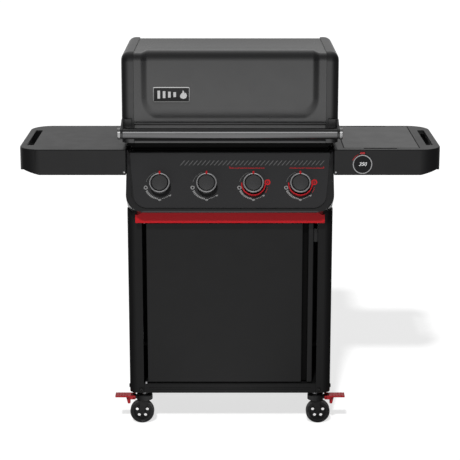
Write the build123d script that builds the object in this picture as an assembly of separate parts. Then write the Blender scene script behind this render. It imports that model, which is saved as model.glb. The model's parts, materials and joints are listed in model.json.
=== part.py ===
from build123d import *
import os

# Gas barbecue grill on a closed cart, in millimetres.
# Frame: origin on the floor under the middle of the whole grill, front is -Y, +X to the right, +Z up.

# ---------------------------------------------------------------- driving dimensions
# cart
CART_HALF_W = 317.6        # outer half width of the cart side panels
CART_HALF_D = 201.5        # half depth of the cart
CART_BASE_Z = 110.0        # underside of the cart
SHEET = 2.0                # cart sheet thickness
LEG_FACE_W = 46.0          # width of the folded front and rear faces
LEG_INNER_X = CART_HALF_W - LEG_FACE_W
LEG_LIP = 20.0             # depth of the return lip of those faces
LEG_CORNER_R = 26.0        # rounding of the vertical corners
FRONT_TOP_Z = 705.0        # top of the cart sides in front, under the bezel
SIDE_TOP_Z = 831.0         # top of the cart sides behind, which carry the cookbox
RAIL_H = 30.0              # height of the lower rails
RAIL_RETURN = 20.0         # depth of their flanges
SEAT = 0.3                 # gap left between pieces that rest on each other
# door
DOOR_GAP = 12.6            # door edge to leg
DOOR_PULL_W = 34.5         # width of the finger channel and its lip together
DOOR_LEFT = -LEG_INNER_X + DOOR_GAP + 0.2
DOOR_HANDLE_RIGHT = LEG_INNER_X - DOOR_GAP
DOOR_PANEL_RIGHT = DOOR_HANDLE_RIGHT - DOOR_PULL_W
DOOR_BASE_Z = 146.8
DOOR_TOP_Z = 662.6
DOOR_FACE_Y = -200.0
DOOR_THICK = 16.0
DOOR_PIVOT_X = -LEG_INNER_X + 6.6
DOOR_PIVOT_Y = DOOR_FACE_Y + 4.0
DOOR_PIN_R = 3.0
# tray
TRAY_FRONT_HALF_W = CART_HALF_W - 27.0
TRAY_FACE_Y = -226.5
TRAY_BASE_Z = 670.0
TRAY_TOP_Z = 708.0
TRAY_HALF_W = LEG_INNER_X - 5.6
TRAY_REAR_Y = 180.0
TRAY_RIM_Z = 704.0
# cookbox
BOX_HALF_W = CART_HALF_W - 17.6    # outer half width of the firebox walls
BOX_WALL = 4.0
BOX_FRONT_Y = -137.0
BOX_REAR_Y = 222.0
BOX_RIM_Z = 911.0
BOX_RIM_FRONT_Y = -184.0
BOX_RIM_REAR_Y = BOX_REAR_Y + 14.0
BOX_RIM_HALF_W = CART_HALF_W - 3.6
BOX_FLOOR_Z = 718.0
BOX_HIP_Z = 745.0          # where the walls turn in to the sloping floor
RIM_T = 8.0
DRAIN_HALF_X = 60.0
DRAIN_FRONT_Y = -20.0
DRAIN_REAR_Y = 60.0
# burners and gas train
BURNER_PITCH = 143.0
BURNER_Z = 775.0
BURNER_R = 12.5
TENT_W = 52.0
GRATE_T = 10.0
GRATE_BAR = 8.0
GRATE_PITCH = 20.0
RACK_Z = 1008.0
RACK_WIRE = 6.0
RACK_DEPTH = 120.0
# control panel
PANEL_TOP_Y = -161.5
PANEL_TOP_Z = 870.0
PANEL_BASE_Y = -251.5
PANEL_BASE_Z = 723.6
BEZEL_HALF_W = CART_HALF_W + 0.4
PANEL_TOP_HALF_W = BEZEL_HALF_W - 10.5
PANEL_BASE_HALF_W = BEZEL_HALF_W - 27.5
PANEL_CORNER_R = 43.0
PANEL_T = 3.0
PANEL_FOLD_R = 20.0
PANEL_REAR_Y = -139.0
BEZEL_GROOVE = 5.0
BEZEL_RIM = 10.0
BEZEL_DEPTH = 130.0       # the cheeks run back to the cart sides
BEZEL_PROUD = 4.0
BEZEL_CORNER_R = 58.0
BEZEL_WALL = 8.0
BEZEL_LEDGE = 6.0          # thickness of the ledge behind the panel
BEZEL_HOLLOW_UP = -74.0    # where the hollow behind the ledge ends, below the panel's middle
BEZEL_HORN = 18.0          # how far the bezel's upper ends stand above the panel's face
KNOB_DROP = 13.0           # knob axes below the middle of the panel's face
KNOB_R = 32.0
KNOB_STANDOFF = 5.0        # knob skirt to panel, room for the push
KNOB_FACE = 28.0           # knob face to panel
STEM_R = 4.0
RUN_FIT = 0.05             # radial clearance of every turning or sliding shaft
# lid
SKIN_HALF_W = CART_HALF_W - 26.1
SKIN_T = 2.0
LID_BASE_Z = 913.0
LID_REAR_BASE_Z = 942.0
LID_CREASE_Z = 1186.0
LID_CREASE_R = 28.0
LID_TOP_REAR_Z = 1185.0
LID_TOP_REAR_R = 58.0
LID_FRONT_BASE_Y = -196.0
LID_FRONT_TOP_Y = -188.0
LID_LIP_H = 7.0            # lip under the handle recess
LID_RECESS = 18.0          # depth of the recess behind the handle
LID_FLAT_Z = LID_BASE_Z + 60.0
LID_REAR_Y = BOX_REAR_Y + 28.0
CAP_PROUD = 4.0            # how far the cast end caps stand above the sheet
CAP_HALF_W = CART_HALF_W + 12.4
CAP_WALL = 5.0
CAP_EDGE_R = 26.0
FIELD_PROUD = 8.0          # how far the pressed field stands out of the sheet
HINGE_Y = LID_REAR_Y + 14.0
HINGE_Z = 930.0
HINGE_R = 15.0
HINGE_PIN_R = 5.0
# handle
HANDLE_Y = -261.5
HANDLE_Z = 955.0
HANDLE_R = 16.5
HANDLE_HALF = CART_HALF_W + 3.4
HANDLE_ARM_T = 8.0
HANDLE_CAP_R = 17.5
HANDLE_CAP_T = 8.5
HANDLE_FOOT_X = SKIN_HALF_W + 6.5  # inner end of the foot that bolts to the end cap
# side tables
TABLE_LENGTH = 329.0
TABLE_INNER_X = CART_HALF_W + 0.4
TABLE_OUTER_X = TABLE_INNER_X + TABLE_LENGTH
TABLE_FRONT_Y = -211.5
TABLE_REAR_Y = 198.5
TABLE_TOP_Z = 896.0
TABLE_APRON = 79.0
TABLE_CORNER_R = 70.0
TABLE_WALL = 3.0
TABLE_TOP_T = 4.0
TABLE_RISE_X = TABLE_OUTER_X - 64.0   # where the underside starts to rise towards the outer end
TABLE_RISE = 16.0
SLOT_OUT_X = TABLE_OUTER_X - 20.0
SLOT_IN_X = SLOT_OUT_X - 21.0
SLOT_FRONT_Y = -136.5
SLOT_REAR_Y = 113.5
INSERT_IN_X = TABLE_INNER_X + 31.0
INSERT_OUT_X = TABLE_OUTER_X - 67.7
INSERT_HALF_Y = 181.0
INSERT_T = 7.0
INSERT_GAP = 1.0
NOTCH_IN_X = INSERT_IN_X + 60.0
NOTCH_OUT_X = NOTCH_IN_X + 101.0
NOTCH_W = 14.0
NOTCH_DEEP = 6.0
# display
DISPLAY_X = TABLE_INNER_X + 85.4
DISPLAY_Z = 852.0
DISPLAY_R = 30.0
DISPLAY_RING = 4.5
DISPLAY_PROUD = 6.0
BUTTON_W = 14.7
BUTTON_H = 5.6
BUTTON_TRAVEL = 1.5
# casters
STEM_X = LEG_INNER_X + 0.8
WHEEL_X = STEM_X + 8.0     # the wheel trails its stem
CASTER_Y = CART_HALF_D - 35.0
WHEEL_R = 38.0
WHEEL_W = 22.0
AXLE_R = 4.0
CROWN_R = 25.5
CROWN_BASE_Z = 79.0
CROWN_TOP_Z = 97.0
FORK_LEG_T = 4.0
FORK_GAP = 1.5
CASTER_STEM_R = 6.0
LEVER_PIVOT_X = STEM_X + 33.6
LEVER_PIVOT_Z = 86.0
LEVER_PIN_R = 2.5
LEVER_END_X = LEVER_PIVOT_X + 59.0
LEVER_W = 34.0


# ---------------------------------------------------------------- helpers
def span(x0, x1, y0, y1, z0, z1):
    """A box between two corners."""
    centre = ((x0 + x1) / 2, (y0 + y1) / 2, (z0 + z1) / 2)
    return Pos(*centre) * Box(abs(x1 - x0), abs(y1 - y0), abs(z1 - z0))


def rod_x(x0, x1, y, z, r):
    """A round bar along X."""
    return Pos((x0 + x1) / 2, y, z) * Rot(0, 90, 0) * Cylinder(r, abs(x1 - x0))


def rod_y(x, y0, y1, z, r):
    """A round bar along Y."""
    return Pos(x, (y0 + y1) / 2, z) * Rot(90, 0, 0) * Cylinder(r, abs(y1 - y0))


def rod_z(x, y, z0, z1, r):
    """A round bar along Z."""
    return Pos(x, y, (z0 + z1) / 2) * Cylinder(r, abs(z1 - z0))


def side_plate(points, x0, x1):
    """A plate between x0 and x1 with an outline given as (y, z) points."""
    face = make_face(Polyline(*[(x0, y, z) for y, z in points], close=True))
    return extrude(face, amount=x1 - x0, dir=(1, 0, 0))


def front_plate(points, y0, y1):
    """A plate between y0 and y1 with an outline given as (x, z) points."""
    face = make_face(Polyline(*[(x, y0, z) for x, z in points], close=True))
    return extrude(face, amount=y1 - y0, dir=(0, 1, 0))


def outline(points_and_radii, x0, x1):
    """A plate along X whose (y, z) corners are rounded by the radius given with each."""
    points = [(x0, y, z) for y, z, _ in points_and_radii]
    line = Polyline(*points, close=True)
    face = make_face(line)
    solid = extrude(face, amount=x1 - x0, dir=(1, 0, 0))
    for (y, z, r) in points_and_radii:
        if r:
            edges = [
                e
                for e in solid.edges().filter_by(Axis.X)
                if abs(e.center().Y - y) < 0.01 and abs(e.center().Z - z) < 0.01
            ]
            solid = fillet(edges, r)
    return solid


def both_sides(make):
    """The solids that make(side) gives for the left (-1) and the right (+1)."""
    return [make(-1), make(1)]


def across(side, a, b):
    """The two x limits a and b, mirrored for the left side and in rising order."""
    return sorted((side * a, side * b))


def save(name, *shapes):
    """Write one node as one or more separate solids."""
    solids = [solid for shape in shapes for solid in shape.solids()]
    whole = solids[0] if len(solids) == 1 else Compound(children=solids)
    whole.label = name
    export_step(whole, f"parts/{name}.step")


# ---------------------------------------------------------------- panel plane
PANEL_MID = Vector(0, (PANEL_TOP_Y + PANEL_BASE_Y) / 2, (PANEL_TOP_Z + PANEL_BASE_Z) / 2)
PANEL_UP = Vector(0, PANEL_TOP_Y - PANEL_BASE_Y, PANEL_TOP_Z - PANEL_BASE_Z)
PANEL_HALF_H = PANEL_UP.length / 2
PANEL_UP = PANEL_UP.normalized()
PANEL_OUT = Vector(0, -PANEL_UP.Z, PANEL_UP.Y)
KNOB_XS = [BURNER_PITCH * (i - 1.5) for i in range(4)]


def on_panel(x, up, out=0.0):
    """A point given by its place on the panel's face and its height off it."""
    return PANEL_MID + Vector(x, 0, 0) + PANEL_UP * up + PANEL_OUT * out


def panel_rod(x, up, out0, out1, r):
    """A round bar square to the panel, between two heights off its face."""
    place = Plane(origin=on_panel(x, up, out0), x_dir=(1, 0, 0), z_dir=PANEL_OUT)
    return place * Pos(0, 0, (out1 - out0) / 2) * Cylinder(r, out1 - out0)


def panel_prism(top_half, base_half, up_top, up_base, corner_r, out0, out1):
    """A prism square to the panel: a trapezoid with its two lower corners rounded."""
    corners = [(-top_half, up_top), (-base_half, up_base), (base_half, up_base), (top_half, up_top)]
    face = make_face(Polyline(*corners, close=True))
    lower = face.vertices().sort_by(Axis.Y)[:2]
    face = fillet(lower, corner_r)
    place = Plane(origin=on_panel(0, 0, out0), x_dir=(1, 0, 0), z_dir=PANEL_OUT)
    return extrude(place * face, amount=out1 - out0, dir=tuple(PANEL_OUT))


# ---------------------------------------------------------------- cart
FLOOR_Z = CART_BASE_Z + RAIL_H
BOLT_R = 3.0
BOLT_HEAD_R = 7.0
BOLT_HEAD_T = 3.5
BOLT_Z = CART_BASE_Z + 11.0
SIDE_BOLT_Y = 160.0


def bolt_x(side, y, z):
    """A bolt through a cart side panel: head outside, shank through, nut inside."""
    face = CART_HALF_W
    head = rod_x(side * face, side * (face + BOLT_HEAD_T), y, z, BOLT_HEAD_R)
    shank = rod_x(side * (face - SHEET - 6), side * face, y, z, BOLT_R)
    nut = rod_x(side * (face - SHEET - 4), side * (face - SHEET), y, z, 5.5)
    return head + shank + nut


def bolt_y(x, end, z):
    """A bolt through a leg's front (end -1) or rear (end +1) face."""
    face = CART_HALF_D
    head = rod_y(x, end * face, end * (face + BOLT_HEAD_T), z, BOLT_HEAD_R)
    shank = rod_y(x, end * (face - SHEET - 6), end * face, z, BOLT_R)
    nut = rod_y(x, end * (face - SHEET - 4), end * (face - SHEET), z, 5.5)
    return head + shank + nut


LEG_BOLT_X = LEG_INNER_X + 8.7


def cart_side(side):
    """A folded side panel: outer wall, rounded corners, front and rear faces with return lips."""
    outer = side * CART_HALF_W
    d = CART_HALF_D
    block = span(*across(side, LEG_INNER_X, CART_HALF_W), -d, d, CART_BASE_Z, SIDE_TOP_Z)
    corner = [e for e in block.edges().filter_by(Axis.Z) if abs(e.center().X - outer) < 0.01]
    block = fillet(corner, LEG_CORNER_R)
    core = span(
        *across(side, LEG_INNER_X - 1, CART_HALF_W - SHEET), -d + SHEET, d - SHEET, CART_BASE_Z, SIDE_TOP_Z
    )
    corner = [
        e
        for e in core.edges().filter_by(Axis.Z)
        if abs(e.center().X - side * (CART_HALF_W - SHEET)) < 0.01
    ]
    core = fillet(corner, LEG_CORNER_R - SHEET)
    panel = block - core
    for end in (-1, 1):
        lip_y = sorted((end * d, end * (d - LEG_LIP)))
        panel += span(*across(side, LEG_INNER_X, LEG_INNER_X + SHEET), *lip_y, CART_BASE_Z, SIDE_TOP_Z)
    # the front stops under the bezel, the rear part goes on up to carry the cookbox
    panel -= span(*across(side, 0, CART_HALF_W + 1), -d - 1, BOX_FRONT_Y - 12, FRONT_TOP_Z, SIDE_TOP_Z + 1)
    panel -= span(*across(side, 0, BOX_HALF_W + 2), 0, d + 1, FRONT_TOP_Z, SIDE_TOP_Z + 1)
    ledge_x = across(side, BOX_HALF_W + 3, CART_HALF_W - SHEET)
    panel += span(*ledge_x, BOX_FRONT_Y - 12, d - SHEET, SIDE_TOP_Z - SHEET, SIDE_TOP_Z)
    # caster plates at the foot
    for end in (-1, 1):
        y_mid = end * CASTER_Y
        plate_x = across(side, STEM_X - 20, CART_HALF_W - SHEET)
        panel += span(*plate_x, y_mid - 14, y_mid + 14, CART_BASE_Z, CART_BASE_Z + SHEET)
        panel -= rod_z(side * STEM_X, y_mid, CART_BASE_Z - 1, CART_BASE_Z + SHEET + 1, CASTER_STEM_R + 0.2)
        hole_r = BOLT_R + 0.3
        panel -= rod_x(side * (CART_HALF_W - 5), side * (CART_HALF_W + 5), end * SIDE_BOLT_Y, BOLT_Z, hole_r)
        panel -= rod_y(side * LEG_BOLT_X, end * (d - 5), end * (d + 5), BOLT_Z, hole_r)
    if side < 0:
        # lug that holds the door's upper hinge pin
        lug = span(DOOR_PIVOT_X - 6.5, DOOR_PIVOT_X + 9, -d, -d + 18, DOOR_TOP_Z + 1.5, DOOR_TOP_Z + 4.5)
        lug -= rod_z(DOOR_PIVOT_X, DOOR_PIVOT_Y, DOOR_TOP_Z, DOOR_TOP_Z + 6, DOOR_PIN_R + RUN_FIT)
        panel += lug
    return panel


def cart_rail(end):
    """A channel between the legs at the foot, with a long shallow groove along its face."""
    face = CART_HALF_D
    y_face = sorted((end * face, end * (face - SHEET)))
    y_deep = sorted((end * face, end * (face - RAIL_RETURN)))
    rail = span(-LEG_INNER_X, LEG_INNER_X, *y_face, CART_BASE_Z, FLOOR_Z)
    rail += span(-LEG_INNER_X, LEG_INNER_X, *y_deep, CART_BASE_Z, CART_BASE_Z + SHEET)
    rail += span(-LEG_INNER_X, LEG_INNER_X, *y_deep, FLOOR_Z - SHEET, FLOOR_Z)
    groove_y = sorted((end * (face - 0.8), end * (face + 1)))
    groove_x = LEG_INNER_X - 16.6
    rail -= span(-groove_x, groove_x, *groove_y, CART_BASE_Z + 12, CART_BASE_Z + 18)
    if end < 0:
        rail -= rod_z(DOOR_PIVOT_X, DOOR_PIVOT_Y, FLOOR_Z - 8, FLOOR_Z + 1, DOOR_PIN_R + RUN_FIT)
    return rail


def cart_floor():
    """The cabinet's floor, notched at the legs."""
    y = CART_HALF_D - SHEET - SEAT
    x = LEG_INNER_X - SEAT
    floor = span(-x, x, -y, y, FLOOR_Z, FLOOR_Z + SHEET)
    floor -= rod_z(DOOR_PIVOT_X, DOOR_PIVOT_Y, FLOOR_Z - 1, FLOOR_Z + SHEET + 1, DOOR_PIN_R + 3)
    for side in (-1, 1):
        floor += span(
            *across(side, x - 1, CART_HALF_W - SHEET - SEAT),
            -(y - LEG_LIP),
            y - LEG_LIP,
            FLOOR_Z,
            FLOOR_Z + SHEET,
        )
    return floor


def cart_back():
    """The back panel, with a round opening for the gas hose and a row of vents."""
    x = LEG_INNER_X
    back = span(-x, x, CART_HALF_D - SHEET, CART_HALF_D, FLOOR_Z, FRONT_TOP_Z)
    back -= rod_y(180, CART_HALF_D - 5, CART_HALF_D + 5, 600, 45)
    for i in range(9):
        slot_x = -200 + 45 * i
        back -= span(slot_x - 14, slot_x + 14, CART_HALF_D - 5, CART_HALF_D + 5, 180, 188)
    return back


# ---------------------------------------------------------------- door
HANDLE_CHANNEL = 17.5      # width of the dark finger channel beside the panel


def door_panel():
    """A folded sheet door: flat face with edges turned back."""
    t = SHEET
    face_y = DOOR_FACE_Y
    back_y = DOOR_FACE_Y + DOOR_THICK
    door = span(DOOR_LEFT, DOOR_PANEL_RIGHT, face_y, back_y, DOOR_BASE_Z, DOOR_TOP_Z)
    door -= span(DOOR_LEFT + t, DOOR_PANEL_RIGHT - t, face_y + t, back_y + 1, DOOR_BASE_Z + t, DOOR_TOP_Z - t)
    # top and bottom flanges run on to the left as hinge ears
    for z0, z1 in ((DOOR_BASE_Z, DOOR_BASE_Z + t), (DOOR_TOP_Z - t, DOOR_TOP_Z)):
        ear = span(DOOR_PIVOT_X - 4, DOOR_LEFT + 1, face_y, face_y + 9, z0, z1)
        ear -= rod_z(DOOR_PIVOT_X, DOOR_PIVOT_Y, z0 - 1, z1 + 1, DOOR_PIN_R)
        door += ear
    return door


def door_handle():
    """A full-height pull: a channel behind the panel's edge and an upright strip as its outer lip."""
    t = SHEET
    back_y = DOOR_FACE_Y + DOOR_THICK
    lip_left = DOOR_PANEL_RIGHT + HANDLE_CHANNEL
    base = span(DOOR_PANEL_RIGHT, DOOR_HANDLE_RIGHT, back_y - t, back_y, DOOR_BASE_Z, DOOR_TOP_Z)
    lip = span(lip_left, DOOR_HANDLE_RIGHT, DOOR_FACE_Y, back_y, DOOR_BASE_Z, DOOR_TOP_Z)
    upright = [e for e in lip.edges().filter_by(Axis.Z) if abs(e.center().Y - DOOR_FACE_Y) < 0.01]
    lip = fillet(upright, 3.0)
    hollow_x = (lip_left + t, DOOR_HANDLE_RIGHT - t)
    lip -= span(*hollow_x, DOOR_FACE_Y + t, back_y + 1, DOOR_BASE_Z + t, DOOR_TOP_Z - t)
    return base + lip


def door_pins():
    """The two hinge pins, pressed in the door's ears and running in the cart."""
    low = rod_z(DOOR_PIVOT_X, DOOR_PIVOT_Y, FLOOR_Z - 5, DOOR_BASE_Z + SHEET, DOOR_PIN_R)
    low += rod_z(DOOR_PIVOT_X, DOOR_PIVOT_Y, FLOOR_Z + SEAT, DOOR_BASE_Z, DOOR_PIN_R + 2)
    high = rod_z(DOOR_PIVOT_X, DOOR_PIVOT_Y, DOOR_TOP_Z - SHEET, DOOR_TOP_Z + 4, DOOR_PIN_R)
    return [low, high]


def door_catch():
    """A magnet block under the upper end of the right leg's lip, behind the door handle."""
    x1 = LEG_INNER_X
    y0 = DOOR_FACE_Y + DOOR_THICK + SEAT
    return span(x1 - 26, x1, y0, y0 + 12, 600, 640) + span(x1 - 3, x1, y0 - 0.2, y0 + 12, 600, 640)


# ---------------------------------------------------------------- tray
TRAY_CUT_X = 22.0          # the face's upper corners are cut away
TRAY_CUT_H = 11.0


def tray_front():
    """The pull-out front: a channel open below for the fingers, its upper corners cut away."""
    w = TRAY_FRONT_HALF_W
    low_z = TRAY_TOP_Z - TRAY_CUT_H
    ear = TRAY_CUT_X - TRAY_CUT_H - 1
    points = [(-w, TRAY_BASE_Z), (w, TRAY_BASE_Z), (w, low_z), (w - ear, low_z)]
    points += [(w - TRAY_CUT_X, TRAY_TOP_Z), (-w + TRAY_CUT_X, TRAY_TOP_Z), (-w + ear, low_z), (-w, low_z)]
    back_y = -CART_HALF_D - 0.5
    front = front_plate(points, TRAY_FACE_Y, back_y)
    right = [(w - 2, TRAY_BASE_Z - 1), (w - 2, low_z - 2), (w - ear - 0.8, low_z - 2)]
    right.append((w - TRAY_CUT_X - 0.8, TRAY_TOP_Z - 2))
    inner = right + [(-x, z) for x, z in reversed(right)]
    return front - front_plate(inner, TRAY_FACE_Y + 2, back_y - 2)


TRAY_WALL = 1.5
RUNNER_LEDGE_Z = 674.0


def grease_tray():
    """The shallow pan behind the front, with a rolled rim and a seat for the drip pan."""
    y0 = -CART_HALF_D - 0.5
    base = RUNNER_LEDGE_Z + SEAT
    tray = span(-TRAY_HALF_W, TRAY_HALF_W, y0, TRAY_REAR_Y, base, TRAY_RIM_Z)
    tray -= span(
        -TRAY_HALF_W + TRAY_WALL,
        TRAY_HALF_W - TRAY_WALL,
        y0 + TRAY_WALL,
        TRAY_REAR_Y - TRAY_WALL,
        base + TRAY_WALL,
        TRAY_RIM_Z + 1,
    )
    return tray


DRIP_HALF_X = 110.0
DRIP_HALF_Y = 80.0
DRIP_MID_Y = 20.0


def drip_pan():
    """A thin foil liner standing in the grease tray under the cookbox drain."""
    base = RUNNER_LEDGE_Z + SEAT + TRAY_WALL
    plane = Plane(origin=(0, DRIP_MID_Y, base))
    body = extrude(plane * RectangleRounded(2 * DRIP_HALF_X, 2 * DRIP_HALF_Y, 20), amount=22, taper=-8)
    hole = extrude(
        plane.offset(1) * RectangleRounded(2 * DRIP_HALF_X - 2, 2 * DRIP_HALF_Y - 2, 19), amount=22, taper=-8
    )
    return body - hole


def tray_runner(side):
    """An angle along each side that the tray slides on."""
    x_wall = LEG_INNER_X - SEAT
    y = CART_HALF_D - 6
    wall = span(*across(side, x_wall - SHEET, x_wall), -y, y, TRAY_BASE_Z, TRAY_TOP_Z)
    ledge = span(*across(side, x_wall - 20, x_wall - 1), -y, y, RUNNER_LEDGE_Z - SHEET, RUNNER_LEDGE_Z)
    return wall + ledge


# ---------------------------------------------------------------- cookbox and what is in it
FLARE_Z = 884.0
FLARE_TOP_Z = 896.0
FLARE_RISE = FLARE_TOP_Z - FLARE_Z
FLARE_TOP_Y = BOX_RIM_FRONT_Y + 12
FLARE_RUN = BOX_FRONT_Y - FLARE_TOP_Y
FLARE_LEAN = BOX_WALL * 1.06
LEDGE_Z = 893.0
TENT_LEDGE_Z = 803.0


def box_profile(inset, top_z):
    """The cookbox's section, moved in by a wall thickness; the flare gives the grates their room."""
    lean = inset * 1.06
    return [
        (BOX_FRONT_Y + inset, BOX_HIP_Z + inset * 0.4),
        (BOX_FRONT_Y + inset, FLARE_Z + lean),
        (FLARE_TOP_Y + inset, FLARE_TOP_Z + lean),
        (FLARE_TOP_Y + inset, top_z),
        (BOX_REAR_Y - inset, top_z),
        (BOX_REAR_Y - inset, BOX_HIP_Z + inset * 0.4),
        (DRAIN_REAR_Y, BOX_FLOOR_Z + inset),
        (DRAIN_FRONT_Y, BOX_FLOOR_Z + inset),
    ]


def cookbox():
    """The cast firebox: walls, flared front, rim, sloping floor with a drain, ledges and lugs."""
    box = side_plate(box_profile(0, BOX_RIM_Z), -BOX_HALF_W, BOX_HALF_W)
    rim = span(
        -BOX_RIM_HALF_W, BOX_RIM_HALF_W, BOX_RIM_FRONT_Y, BOX_RIM_REAR_Y, BOX_RIM_Z - RIM_T, BOX_RIM_Z
    )
    box += rim
    box -= side_plate(box_profile(BOX_WALL, BOX_RIM_Z + 1), -BOX_HALF_W + BOX_WALL, BOX_HALF_W - BOX_WALL)
    box -= span(-DRAIN_HALF_X, DRAIN_HALF_X, DRAIN_FRONT_Y, DRAIN_REAR_Y, BOX_FLOOR_Z - 5, BOX_FLOOR_Z + 20)
    # ledges: one for the grates at the rear, two for the heat tents
    inner_x = BOX_HALF_W - BOX_WALL
    rear_y = BOX_REAR_Y - BOX_WALL
    box += span(-inner_x, inner_x, rear_y - 9, rear_y, LEDGE_Z - 5, LEDGE_Z)
    box += span(-inner_x, inner_x, rear_y - 12, rear_y, TENT_LEDGE_Z - 4, TENT_LEDGE_Z)
    front_y = BOX_FRONT_Y + BOX_WALL
    box += span(-inner_x, inner_x, front_y, front_y + 12, TENT_LEDGE_Z - 4, TENT_LEDGE_Z)
    for side in (-1, 1):
        for y0 in (-60, 120):
            box += span(
                *across(side, BOX_HALF_W - 1, BOX_RIM_HALF_W), y0, y0 + 25, SIDE_TOP_Z, SIDE_TOP_Z + 12
            )
    for x in KNOB_XS:
        box -= rod_y(x, BOX_FRONT_Y - 2, BOX_FRONT_Y + BOX_WALL + 2, BURNER_Z, BURNER_R + 1)
        box -= rod_y(x, BOX_REAR_Y - BOX_WALL - 2, BOX_REAR_Y + 2, BURNER_Z, 4.2)
    return box


def burner_tube(x):
    """A steel burner: a tube closed at the rear by its locating peg, with a row of ports."""
    y0 = BOX_FRONT_Y - 18
    y1 = BOX_REAR_Y - BOX_WALL - 6
    tube = rod_y(x, y0, y1, BURNER_Z, BURNER_R)
    tube -= rod_y(x, y0 - 1, y1 - 3, BURNER_Z, BURNER_R - 1.2)
    tube += rod_y(x, y1 - 1, BOX_REAR_Y + 2, BURNER_Z, 4.0)
    for side in (-1, 1):
        for i in range(10):
            tube -= rod_x(x, x + side * (BURNER_R + 2), BOX_FRONT_Y + 50 + 28 * i, BURNER_Z + 3, 1.6)
    return tube


def heat_tent(x):
    """A folded tent over or between burners, resting on both ledges."""
    half = TENT_W / 2
    rise = 27.0
    t = 1.5
    z0 = TENT_LEDGE_Z + SEAT
    y0 = BOX_FRONT_Y + BOX_WALL + 1
    y1 = BOX_REAR_Y - BOX_WALL - 1
    points = [(x - half, z0), (x, z0 + rise), (x + half, z0), (x + half - 2, z0)]
    points += [(x, z0 + rise - t * 1.4), (x - half + 2, z0)]
    return front_plate(points, y0, y1)


def cooking_grate(side):
    """A cast grate: a frame with bars running front to back."""
    x0 = 1.5
    x1 = BOX_HALF_W - BOX_WALL - 2
    y0 = BOX_FRONT_Y + BOX_WALL - (LEDGE_Z - FLARE_Z - FLARE_LEAN) * FLARE_RUN / FLARE_RISE
    y1 = BOX_REAR_Y - BOX_WALL - 3
    z0 = LEDGE_Z + SEAT
    grate = span(*across(side, x0, x1), y0, y1, z0, z0 + GRATE_T)
    count = int((x1 - x0 - GRATE_BAR) // GRATE_PITCH)
    pitch = (x1 - x0 - GRATE_BAR) / count
    for i in range(count):
        gap_x = x0 + GRATE_BAR + pitch * i
        for ya, yb in ((y0 + 10, (y0 + y1) / 2 - 4), ((y0 + y1) / 2 + 4, y1 - 10)):
            grate -= span(*across(side, gap_x, gap_x + pitch - GRATE_BAR), ya, yb, z0 - 1, z0 + GRATE_T + 1)
    return grate


def warming_rack():
    """A wire shelf on four legs that stand on the grates."""
    x = BOX_HALF_W - 30
    y1 = BOX_REAR_Y - 27
    y0 = y1 - RACK_DEPTH
    w = RACK_WIRE / 2
    foot = LEDGE_Z + SEAT + GRATE_T + SEAT
    rack = span(-x - w, x + w, y0 - w, y0 + w, RACK_Z - w, RACK_Z + w)
    rack += span(-x - w, x + w, y1 - w, y1 + w, RACK_Z - w, RACK_Z + w)
    count = 26
    for i in range(count + 1):
        wire_x = -x + 2 * x * i / count
        rack += span(wire_x - w / 2, wire_x + w / 2, y0, y1, RACK_Z - w, RACK_Z + w / 2)
    for side in (-1, 1):
        rack += span(*across(side, x - w, x + w), y0 - w, y1 + w, RACK_Z - w, RACK_Z + w)
        for y in (y0, y1):
            rack += span(*across(side, x - w, x + w), y - w, y + w, foot, RACK_Z)
    return rack


def igniter(x):
    """A ceramic electrode beside each burner, held in the cookbox's front wall."""
    y = BOX_FRONT_Y + BOX_WALL
    z = BURNER_Z + 4
    body = rod_y(x + 24, y, y + 34, z, 4)
    tip = rod_y(x + 24, y + 34, y + 52, z, 1)
    return body + tip


# ---------------------------------------------------------------- gas train
MANIFOLD_R = 9.0
VALVE_OUT0 = -58.0
VALVE_OUT1 = -14.0
KNOB_UP = -KNOB_DROP
MANIFOLD_DROP = 20.0
MANIFOLD_AT = on_panel(0, KNOB_UP - MANIFOLD_DROP, -50)
INLET_R = 6.0
INLET_LEN = 18.0
INLET_X = LEG_INNER_X + 12.5      # the spigot points down inside the right leg, clear of the tray


def gas_valve(x):
    """A valve block clamped on the manifold, bored for its stem, with an outlet to its burner."""
    place = Plane(origin=on_panel(x, KNOB_UP, VALVE_OUT0), x_dir=(1, 0, 0), z_dir=PANEL_OUT)
    body = place * Pos(0, -8, (VALVE_OUT1 - VALVE_OUT0) / 2) * Box(26, 44, VALVE_OUT1 - VALVE_OUT0)
    body -= rod_x(x - 20, x + 20, MANIFOLD_AT.Y, MANIFOLD_AT.Z, MANIFOLD_R + RUN_FIT)
    body -= panel_rod(x, KNOB_UP, -40, VALVE_OUT1 + 5, STEM_R + RUN_FIT)
    outlet_y = BOX_FRONT_Y - 22
    middle = on_panel(x, KNOB_UP, VALVE_OUT0 + 10)
    return body + rod_y(x, middle.Y, outlet_y, BURNER_Z, 4.5)


def gas_manifold():
    """The gas pipe behind the panel, with an elbowed inlet at its right end."""
    y = MANIFOLD_AT.Y
    z = MANIFOLD_AT.Z
    pipe = rod_x(KNOB_XS[0] - 30, INLET_X + MANIFOLD_R, y, z, MANIFOLD_R)
    nut_foot = z - MANIFOLD_R - 4
    nut = rod_z(INLET_X, y, nut_foot, z, MANIFOLD_R - 0.5)
    # two straps that seat on the cookbox's front wall
    for x in (-BURNER_PITCH, BURNER_PITCH):
        pipe += span(x - 10, x + 10, y, BOX_FRONT_Y - SEAT, BOX_HIP_Z + 1, BOX_HIP_Z + 5)
    return pipe + nut + rod_z(INLET_X, y, nut_foot - INLET_LEN, z, INLET_R)


STEM_TOP = 20.0


def valve_stem(x):
    """The stem that a knob turns: a shaft with a flat, from inside the valve to inside the knob."""
    return panel_rod(x, KNOB_UP, -34, STEM_TOP, STEM_R)


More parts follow.
